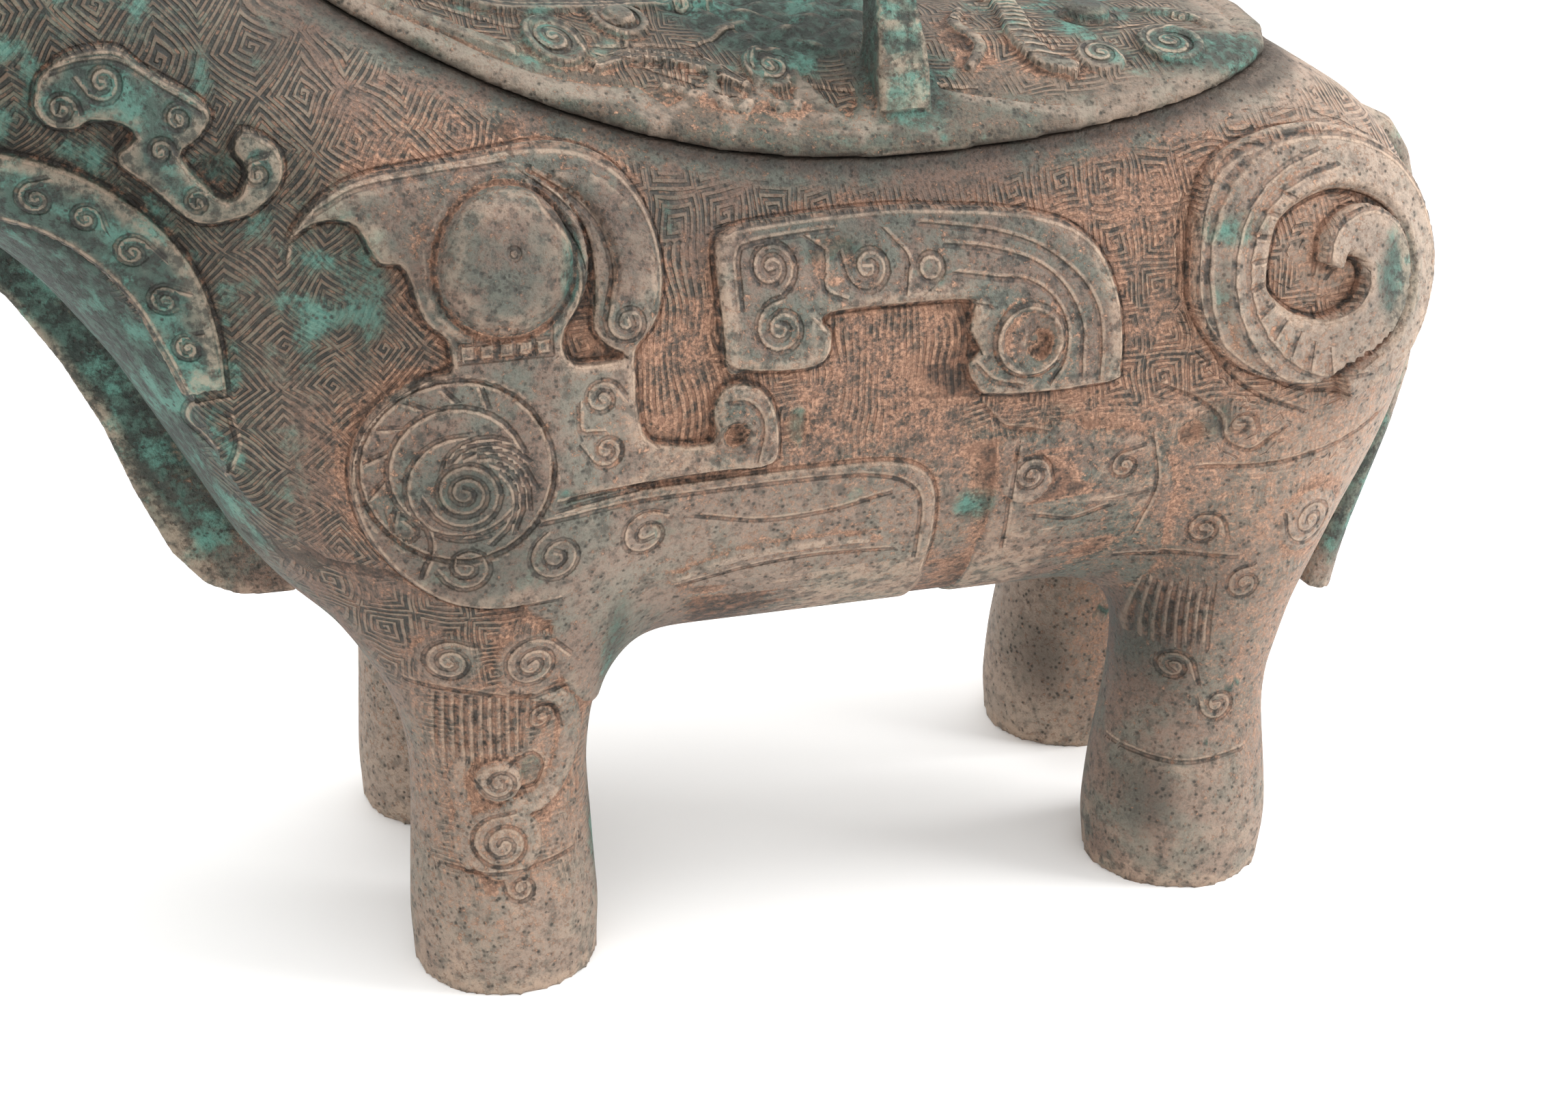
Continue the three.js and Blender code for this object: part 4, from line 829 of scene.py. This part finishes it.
print("lid: even mesh")
lid = copyOfNode("lid", "lidBronze")
plan = workingMm(vertexArray(lid.data))
lidMiddle = (plan[:, 0].min() + plan[:, 0].max()) / 2
turns = np.arctan2(plan[:, 1], plan[:, 0] - lidMiddle)
reach = np.hypot(plan[:, 1], plan[:, 0] - lidMiddle)
spokes = np.linspace(-math.pi, math.pi, 45)
outline = np.array([max(reach[np.abs(np.angle(np.exp(1j * (turns - s)))) < 0.075]) for s in spokes])
evenMesh(lid, lidBronze["cell"])


# 0 in the middle of the lid and 1 at its edge
def lidShare(mm):
    turn = np.arctan2(mm[:, 1], mm[:, 0] - lidMiddle)
    return np.hypot(mm[:, 1], mm[:, 0] - lidMiddle) / np.interp(turn, spokes, outline)


def lidSheet(mm):
    return np.column_stack([mm[:, 0], -np.abs(mm[:, 1])])


def lidTopHeight(mm):
    dome = lidBronze["crown"] * (1 - np.clip(lidShare(mm), 0, 1) ** 2.1)
    return rimHeight(mm[:, 0]) + lidBronze["rise"] + dome


def fromHandle(mm):
    return np.hypot((mm[:, 0] + 8) / 1.15, np.abs(mm[:, 1]) - 5)


def onLidTop(mm, normal):
    handleZone = (np.abs(mm[:, 0] - 8) < 7.5) & (np.abs(np.abs(mm[:, 1]) - 28) < 8)
    over = mm[:, 2] - lidTopHeight(mm)
    return (normal[:, 2] > 0.25) * ramp(over, -2.4, -1.6) * (1 - ramp(over, 3.0, 3.6)) * ~handleZone


mesh = lid.data
points = vertexArray(mesh)
edges = edgeArray(mesh)
mm = workingMm(points)
normal = vertexArray(mesh, "normal")
top = onLidTop(mm, normal)
print("lid:", len(points), "vertices")
height = raisedHeight(lidSheet(mm), castLid) * (top > 0)
points = points - normal * (height / 1000)[:, None]
points = relaxed(points, edges, lidBronze["settle"], top * (1 - ramp(lidShare(mm), 0.95, 0.985)))
points = relaxed(points, edges, 1)
setVertices(mesh, points)
skinNormal = unit(relaxed(vertexArray(mesh, "normal"), edges, 3))
mm = workingMm(points)
sheet = lidSheet(mm)
relief = raisedHeight(sheet, lidForms, lidBronze["plateEdge"])
relief -= cutDepth(sheet, lidLines, lidBronze["lineWidth"], lidBronze["lineDepth"])
# rough casting round the handle's foot
x, y = mm[:, 0], np.abs(mm[:, 1])
lumps = np.sin(x * 0.62 + 1.5 * np.sin(y * 0.5)) * np.sin(y * 0.66 + 0.8 * np.sin(x * 0.4))
relief += ramp(lidBronze["roughReach"] - fromHandle(mm), 0, 7) * (0.5 + 0.9 * lumps)
share = lidShare(mm)
fromEdge = (1 - share) * np.hypot(mm[:, 1], mm[:, 0] - lidMiddle) / np.maximum(share, 0.1)
relief -= 0.45 * np.exp(-((fromEdge - lidBronze["borderWidth"]) / 0.6) ** 2)
points = points + skinNormal * (relief * top * (1 - ramp(share, 0.95, 0.98)) / 1000)[:, None]
setVertices(mesh, points)
fewerTriangles(lid, lidBronze["triangles"])

mesh = lid.data
points = vertexArray(mesh)
edges = edgeArray(mesh)
mm = workingMm(points)
normal = vertexArray(mesh, "normal")
softNormal = unit(relaxed(normal, edges, 3))
top = onLidTop(mm, softNormal)
raised = raisedHeight(lidSheet(mm), lidForms, lidBronze["plateEdge"]) * top
settled = relaxed(points, edges, 8)
x, y, z = mm.T
share = lidShare(mm)
# painted shade on the downward face of the lid's edge, where it overhangs the rim
paintedShadeUnderEdge = ramp(share, 0.93, 0.97) * ramp(-normal[:, 2], -0.1, 0.3)
darkPatches = spots(x, y, [(4, -8, 16, 18, 0.6), (50, -8, 6, 5, 0.8), (-62, -14, 20, 12, 0.4),
                           (-20, -16, 20, 12, 0.4)])
ground = top * (1 - ramp(raised, 0.2, 0.7)) * (1 - ramp(share, 0.84, 0.88))
borderShare = ramp(share, 0.86, 0.92) * (1 - ramp(share, 0.975, 0.99))
storeValues(mesh, {
    "raised": raised,
    "cavity": ((settled - points) * softNormal).sum(1) * 1000,
    "green": spots(x, y, [(-10, -4, 28, 26, 1.15), (-60, -20, 30, 16, 0.72), (10, -26, 12, 16, 1.0),
                          (48, -8, 34, 20, 0.85), (64, -24, 28, 10, 0.9), (-30, 10, 60, 18, 0.8),
                          (-90, 0, 14, 20, 0.7), (10, 20, 50, 24, 0.85), (0, -40, 50, 6, 0.62)]),
    "earth": spots(x, y, [(-60, -26, 40, 8, 0.35), (-20, -34, 50, 6, 0.5), (30, -18, 12, 16, 0.4)]),
    "dark": np.maximum(darkPatches, paintedShadeUnderEdge),
    "ground": ground * (1 - ramp(lidBronze["roughReach"] - fromHandle(mm), 0, 5)),
    "dust": np.maximum(spots(x, y, [(60, -20, 40, 20, 0.35)]), 0.5 * borderShare),
    "turn": np.zeros(len(points)),
    "hatched": np.zeros(len(points)),
})
faceTop = onLidTop(workingMm(faceArray(mesh, "center")), faceArray(mesh, "normal")) > 0.3
storeValues(mesh, {"line": lineDistances(mesh, lidSheet(mm), faceTop, lidLines)}, "CORNER")


def linearColour(code):
    channels = [int(code[i:i + 2], 16) / 255 for i in (1, 3, 5)]
    return tuple(c / 12.92 if c <= 0.04045 else ((c + 0.055) / 1.055) ** 2.4 for c in channels) + (1.0,)


# Settings are a node's options and named sockets, and the inputs go to its sockets in turn
def addNode(tree, kind, settings, *inputs):
    node = tree.nodes.new("ShaderNode" + kind)
    sockets = {name: value for name, value in settings.items() if name in node.inputs}
    for name, value in settings.items():
        if name not in sockets:
            setattr(node, name, value)
    pairs = list(zip([socket for socket in node.inputs if socket.enabled], inputs))
    for socket, value in pairs + [(node.inputs[name], value) for name, value in sockets.items()]:
        if isinstance(value, bpy.types.NodeSocket):
            tree.links.new(value, socket)
        else:
            socket.default_value = linearColour(value) if isinstance(value, str) else value
    return next((socket for socket in node.outputs if socket.enabled), None)


# Tin bronze cast in a clay mould and buried for about three thousand years: a matt grey-green tin-rich
# skin, dark oxide in its crevices, granular malachite where it stayed damp, and pinkish loess in every
# hollow, so the eye gets dark and tan lines on a mottled olive-grey ground with teal patches. The dark
# mark also paints shade along the gap under the lid's edge
def buriedBronze(title, finish):
    material = bpy.data.materials.new(title)
    material.use_nodes = True
    tree = material.node_tree
    tree.nodes.clear()
    soft, mix = {"interpolation_type": "SMOOTHSTEP"}, {"data_type": "RGBA"}
    times, plus, timesPlus = {"operation": "MULTIPLY"}, {"operation": "ADD"}, {"operation": "MULTIPLY_ADD"}
    size, wrapped, swinging = {"operation": "ABSOLUTE"}, {"operation": "WRAP"}, {"operation": "PINGPONG"}
    place = addNode(tree, "TexCoord", {}).node.outputs["Object"]
    mm = addNode(tree, "VectorMath", {"operation": "SCALE"}, place, 1000.0)
    names = ("raised", "cavity", "green", "earth", "dark", "ground", "turn", "line", "hatched", "dust")
    marks = [addNode(tree, "Attribute", {"attribute_name": name}).node.outputs["Fac"] for name in names]
    raisedMark, cavityMark, greenMark, earthMark, darkMark = marks[:5]
    groundMark, turnMark, lineMark, hatchedMark, dustMark = marks[5:]

    # patches of corrosion about 9 mm across, mottling of 2 mm and grain of 0.6 mm
    patches = addNode(tree, "TexNoise", {"Scale": 0.11, "Detail": 5.0, "Roughness": 0.6}, mm)
    mottle = addNode(tree, "TexNoise", {"Scale": 0.45, "Detail": 6.0, "Roughness": 0.65}, mm)
    grain = addNode(tree, "TexNoise", {"Scale": 1.6, "Detail": 4.0, "Roughness": 0.7}, mm)
    fleck = addNode(tree, "TexNoise", {"Scale": 0.85, "Detail": 7.0, "Roughness": 0.78}, mm)
    pores = addNode(tree, "TexVoronoi", {"Scale": 0.8}, mm)
    crumb = addNode(tree, "Math", timesPlus, mottle, 0.55, addNode(tree, "Math", times, grain, 0.45))

    # leiwen: square spirals, one pitch further out with each turn, set on their corners on the neck
    drift = addNode(tree, "TexNoise", {"Scale": 0.07, "Detail": 1.0}, mm).node.outputs["Color"]
    drawn = addNode(tree, "VectorMath", timesPlus, drift, (5, 5, 5), mm)
    square = addNode(tree, "VectorRotate", {"rotation_type": finish["turnAxis"]}, drawn, (0, 0, 0),
                     turnMark)
    split = addNode(tree, "SeparateXYZ", {}, square).node.outputs
    half = addNode(tree, "MapRange", {}, turnMark, 0.0, math.pi / 4, finish["cell"] / 2,
                   finish["neckCell"] / 2)
    lower = addNode(tree, "Math", times, half, -1.0)
    across = addNode(tree, "Math", wrapped, split["X"], half, lower)
    up = addNode(tree, "Math", wrapped, split[finish["upAxis"]], half, lower)
    ring = addNode(tree, "Math", {"operation": "MAXIMUM"}, addNode(tree, "Math", size, across),
                   addNode(tree, "Math", size, up))
    spin = addNode(tree, "Math", {"operation": "ARCTAN2"}, up, across)
    turnsOut = addNode(tree, "Math", times, ring, 1 / finish["pitch"])
    phase = addNode(tree, "Math", timesPlus, spin, 0.5 / math.pi, turnsOut)
    wave = addNode(tree, "Math", swinging, phase, 0.5)
    column = addNode(tree, "Math", times, split["X"], 1 / finish["hatchPitch"])
    wave = addNode(tree, "Mix", {}, hatchedMark, wave, addNode(tree, "Math", swinging, column, 0.5))
    worn = addNode(tree, "MapRange", soft, patches, 0.42, 0.62, 1.0, finish["wornShare"])
    inked = addNode(tree, "Math", times, groundMark, worn)
    ridge = addNode(tree, "Math", times, inked, addNode(tree, "MapRange", soft, wave, 0.2, 0.34, 0.0, 1.0))
    furrow = addNode(tree, "Math", times, inked,
                     addNode(tree, "MapRange", soft, wave, 0.14, 0.27, 1.0, 0.0))

    # engraved lines: a groove with the bur that the mould left along one side of it
    grooveGap = addNode(tree, "Math", size, addNode(tree, "Math", plus, lineMark, 0.22))
    burGap = addNode(tree, "Math", size, addNode(tree, "Math", plus, lineMark, -0.45))
    groove = addNode(tree, "MapRange", soft, grooveGap, 0.14, 0.52, 1.0, 0.0)
    bur = addNode(tree, "MapRange", soft, burGap, 0.12, 0.5, 1.0, 0.0)

    # what stands up, what lies deep and what sticks out as an edge
    high = addNode(tree, "MapRange", soft, raisedMark, 0.2, 1.2, 0.0, 1.0)
    hollow = addNode(tree, "MapRange", soft, cavityMark, 0.03, 0.3, 0.0, 1.0)
    crest = addNode(tree, "MapRange", soft, cavityMark, -0.12, -0.4, 0.0, 1.0)

    # tin-rich skin, browner in patches, with dark specks and blotches
    brownAt = addNode(tree, "Math", timesPlus, fleck, 0.35, patches)
    brownShare = addNode(tree, "MapRange", soft, brownAt, 0.56, 0.76, 0.0, 1.0)
    tone = addNode(tree, "Mix", mix, brownShare, finish["skin"], finish["brown"])
    speck = addNode(tree, "MapRange", soft, grain, 0.54, 0.36, 0.0, 0.7)
    tone = addNode(tree, "Mix", mix, speck, tone, finish["skinDark"])
    blotch = addNode(tree, "MapRange", soft, mottle, 0.5, 0.36, 0.0, 0.7)
    tone = addNode(tree, "Mix", mix, blotch, tone, finish["skinDark"])
    rubbed = addNode(tree, "Math", times, high,
                     addNode(tree, "MapRange", soft, mottle, 0.42, 0.6, 0.0, 0.4))
    tone = addNode(tree, "Mix", mix, rubbed, tone, finish["raised"])

    # loess, as a thin wash of dust and as crusts
    wash = addNode(tree, "Math", times, dustMark,
                   addNode(tree, "MapRange", soft, mottle, 0.34, 0.6, 0.45, 1.0))
    tone = addNode(tree, "Mix", mix, wash, tone, finish["dust"])
    bed = addNode(tree, "Math", timesPlus, earthMark, 0.27, crumb)
    bed = addNode(tree, "Math", timesPlus, hollow, 0.2, bed)
    bed = addNode(tree, "Math", timesPlus, groundMark, 0.07, bed)
    bed = addNode(tree, "Math", timesPlus, high, -0.03, bed)
    crust = addNode(tree, "MapRange", soft, bed, 0.68, 0.84, 0.0, 0.72)
    loess = addNode(tree, "Mix", mix, addNode(tree, "MapRange", soft, grain, 0.42, 0.62, 0.0, 1.0),
                    finish["loess"], finish["loessPale"])
    tone = addNode(tree, "Mix", mix, crust, tone, loess)
    fleckAt = addNode(tree, "Math", timesPlus, addNode(tree, "Math", plus, earthMark, hollow), 0.07, fleck)
    flecks = addNode(tree, "MapRange", soft, fleckAt, 0.58, 0.68, 0.0, 0.8)
    tone = addNode(tree, "Mix", mix, flecks, tone, finish["loessPale"])

    # malachite: deep in its hollows, powdery turquoise on what stands up
    damp = addNode(tree, "Math", timesPlus, greenMark, 0.6, addNode(tree, "Math", times, patches, 0.4))
    damp = addNode(tree, "Math", timesPlus, mottle, 0.3, damp)
    grown = addNode(tree, "MapRange", soft, damp, 0.66, 0.9, 0.0, 0.94)
    powderAt = addNode(tree, "Math", timesPlus, high, 0.05, mottle)
    powder = addNode(tree, "MapRange", soft, powderAt, 0.44, 0.62, 0.0, 1.0)
    malachite = addNode(tree, "Mix", mix, powder, finish["malachiteDeep"], finish["malachite"])
    bloomAt = addNode(tree, "Math", timesPlus, grain, 0.3, patches)
    bloom = addNode(tree, "MapRange", soft, bloomAt, 0.66, 0.82, 0.0, 0.8)
    malachite = addNode(tree, "Mix", mix, bloom, malachite, finish["malachitePale"])
    tone = addNode(tree, "Mix", mix, grown, tone, malachite)
    poreShare = addNode(tree, "Math", times, addNode(tree, "MapRange", soft, pores, 0.1, 0.4, 1.0, 0.0),
                    addNode(tree, "MapRange", soft, mottle, 0.56, 0.42, 0.0, 0.9))
    tone = addNode(tree, "Mix", mix, poreShare, tone, finish["skinDark"])

    # worn edges catch the light, crevices and grooves hold dark oxide or loess, and along the gap under the
    # lid's edge the dark mark paints shade
    edge = addNode(tree, "Math", times, crest, addNode(tree, "MapRange", soft, mottle, 0.4, 0.6, 0.08, 0.5))
    tone = addNode(tree, "Mix", mix, edge, tone, finish["pale"])
    worked = addNode(tree, "MapRange", soft, mottle, 0.38, 0.58, 0.12, 0.55)
    tone = addNode(tree, "Mix", mix, addNode(tree, "Math", times, bur, worked), tone, finish["pale"])
    tone = addNode(tree, "Mix", mix, addNode(tree, "Math", times, ridge, 0.22), tone, finish["loessPale"])
    packedAt = addNode(tree, "Math", timesPlus, earthMark, 0.1, mottle)
    packed = addNode(tree, "MapRange", soft, packedAt, 0.5, 0.66, 0.0, 0.8)
    fill = addNode(tree, "Mix", mix, packed, finish["dark"], finish["loess"])
    # dark oxide in patches, and painted shade in the gap where the lid's edge overhangs the rim
    oxideAndGapShade = addNode(tree, "Math", times, darkMark,
                    addNode(tree, "MapRange", soft, mottle, 0.3, 0.56, 0.35, 1.0))
    tone = addNode(tree, "Mix", mix, addNode(tree, "Math", times, oxideAndGapShade, 0.85), tone, finish["dark"])
    crevice = addNode(tree, "MapRange", soft, cavityMark, 0.14, 0.5, 0.0, 0.75)
    tone = addNode(tree, "Mix", mix, crevice, tone, fill)
    tone = addNode(tree, "Mix", mix, addNode(tree, "Math", times, furrow, 0.78), tone, fill)
    kept = addNode(tree, "MapRange", soft, mottle, 0.36, 0.56, 0.8, 0.4)
    tone = addNode(tree, "Mix", mix, addNode(tree, "Math", times, groove, kept), tone, fill)

    # heights in mm
    pits = addNode(tree, "TexVoronoi", {"Scale": 0.5}, mm)
    pit = addNode(tree, "Math", times, addNode(tree, "MapRange", soft, pits, 0.0, 0.3, 1.0, 0.0),
                  addNode(tree, "MapRange", soft, mottle, 0.5, 0.64, 0.0, 1.0))
    level = addNode(tree, "Math", times, ridge, 0.3)
    level = addNode(tree, "Math", timesPlus, furrow, -0.45, level)
    level = addNode(tree, "Math", timesPlus, groove, -0.6, level)
    level = addNode(tree, "Math", timesPlus, bur, 0.25, level)
    level = addNode(tree, "Math", timesPlus, grain, 0.42, level)
    level = addNode(tree, "Math", timesPlus, mottle, 0.75, level)
    level = addNode(tree, "Math", timesPlus, crust, 0.1, level)
    level = addNode(tree, "Math", timesPlus, flecks, 0.16, level)
    level = addNode(tree, "Math", timesPlus, poreShare, -0.25, level)
    level = addNode(tree, "Math", timesPlus, pit, -0.4, level)
    bump = addNode(tree, "Bump", {"Strength": 1.0, "Distance": 0.001, "Height": level})
    rough = addNode(tree, "Math", timesPlus, grain, 0.3, addNode(tree, "Math", timesPlus, high, -0.1, 0.48))
    surface = addNode(tree, "BsdfPrincipled", {"Base Color": tone, "Roughness": rough, "Normal": bump,
                                               "Specular IOR Level": 0.4})
    addNode(tree, "OutputMaterial", {}, surface)
    return material


# cell, neckCell, pitch and hatchPitch are in mm
vesselFinish = {
    "skin": "#5d6157", "skinDark": "#302f29", "brown": "#745d50", "raised": "#66645a", "pale": "#b99f89",
    "loess": "#875f49", "loessPale": "#bd9175", "dust": "#a39181", "dark": "#221d18",
    "malachiteDeep": "#1b2923", "malachite": "#3a554b", "malachitePale": "#568a7c",
    "cell": 8.6, "neckCell": 11.0, "pitch": 1.08, "hatchPitch": 1.25, "wornShare": 0.2,
    "turnAxis": "Y_AXIS", "upAxis": "Z",
}
lidFinish = dict(vesselFinish, skin="#4f5449", raised="#575b50", brown="#5f5144", wornShare=0.1,
                 turnAxis="Z_AXIS", upAxis="Y")

vessel.data.materials.clear()
vessel.data.materials.append(buriedBronze("buried cast bronze, vessel", vesselFinish))
lid.data.materials.clear()
lid.data.materials.append(buriedBronze("buried cast bronze, lid", lidFinish))
for piece, nodeName, slotName in ((vessel, "vessel", "vessel_bronze"), (lid, "lid", "lid_bronze")):
    bpy.ops.object.select_all(action="DESELECT")
    piece.select_set(True)
    bpy.context.view_layer.objects.active = piece
    bpy.ops.object.shade_smooth()
    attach(piece, "root")
    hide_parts(nodeName)
    print(piece.name, sum(len(face.vertices) - 2 for face in piece.data.polygons), "triangles")

studio = {
    "lens": 71.5, "azimuth": -15.7, "elevation": 25.0, "distance": 0.6, "target": (0.07195, 0.0, 0.0595),
    "paper": "#fdfdfc", "skyStrength": 1.0,
    "overhead": ((0.1, 0.2, 1.2), 1.6, 15.0),
    "key": ((0.85, -0.25, 0.6), 0.5, 9.0),
    "fill": ((-0.35, -0.9, 0.6), 1.0, 3.0),
}

print("studio")
bpy.ops.object.select_all(action="DESELECT")
bpy.ops.mesh.primitive_plane_add(size=8, location=(0, 0, 0))
floor = bpy.context.object
floor.name = "paperFloor"
# Matt background paper: no sheen, so that it shows only the soft shadow
paper = bpy.data.materials.new("matt background paper")
paper.use_nodes = True
paper.node_tree.nodes["Principled BSDF"].inputs["Base Color"].default_value = linearColour(studio["paper"])
paper.node_tree.nodes["Principled BSDF"].inputs["Roughness"].default_value = 0.95
floor.data.materials.append(paper)

azimuth, elevation = math.radians(studio["azimuth"]), math.radians(studio["elevation"])
level = math.cos(elevation)
back = Vector((math.sin(azimuth) * level, -math.cos(azimuth) * level, math.sin(elevation)))
bpy.ops.object.camera_add(location=Vector(studio["target"]) + back * studio["distance"])
camera = bpy.context.object
camera.rotation_euler = (-back).to_track_quat("-Z", "Y").to_euler()
camera.data.lens = studio["lens"]
camera.data.sensor_width = 36
camera.data.clip_start = 0.01
bpy.context.scene.camera = camera
bpy.context.scene.view_settings.view_transform = "Standard"

world = bpy.context.scene.world or bpy.data.worlds.new("studio")
bpy.context.scene.world = world
world.use_nodes = True
world.node_tree.nodes["Background"].inputs["Color"].default_value = (1, 1, 1, 1)
world.node_tree.nodes["Background"].inputs["Strength"].default_value = studio["skyStrength"]

for name in ("overhead", "key", "fill"):
    location, size, power = studio[name]
    bpy.ops.object.light_add(type="AREA", location=location)
    light = bpy.context.object
    light.name = name
    light.data.energy = power
    light.data.size = size
    light.rotation_euler = (Vector((0.03, 0, 0.1)) - Vector(location)).to_track_quat("-Z", "Y").to_euler()
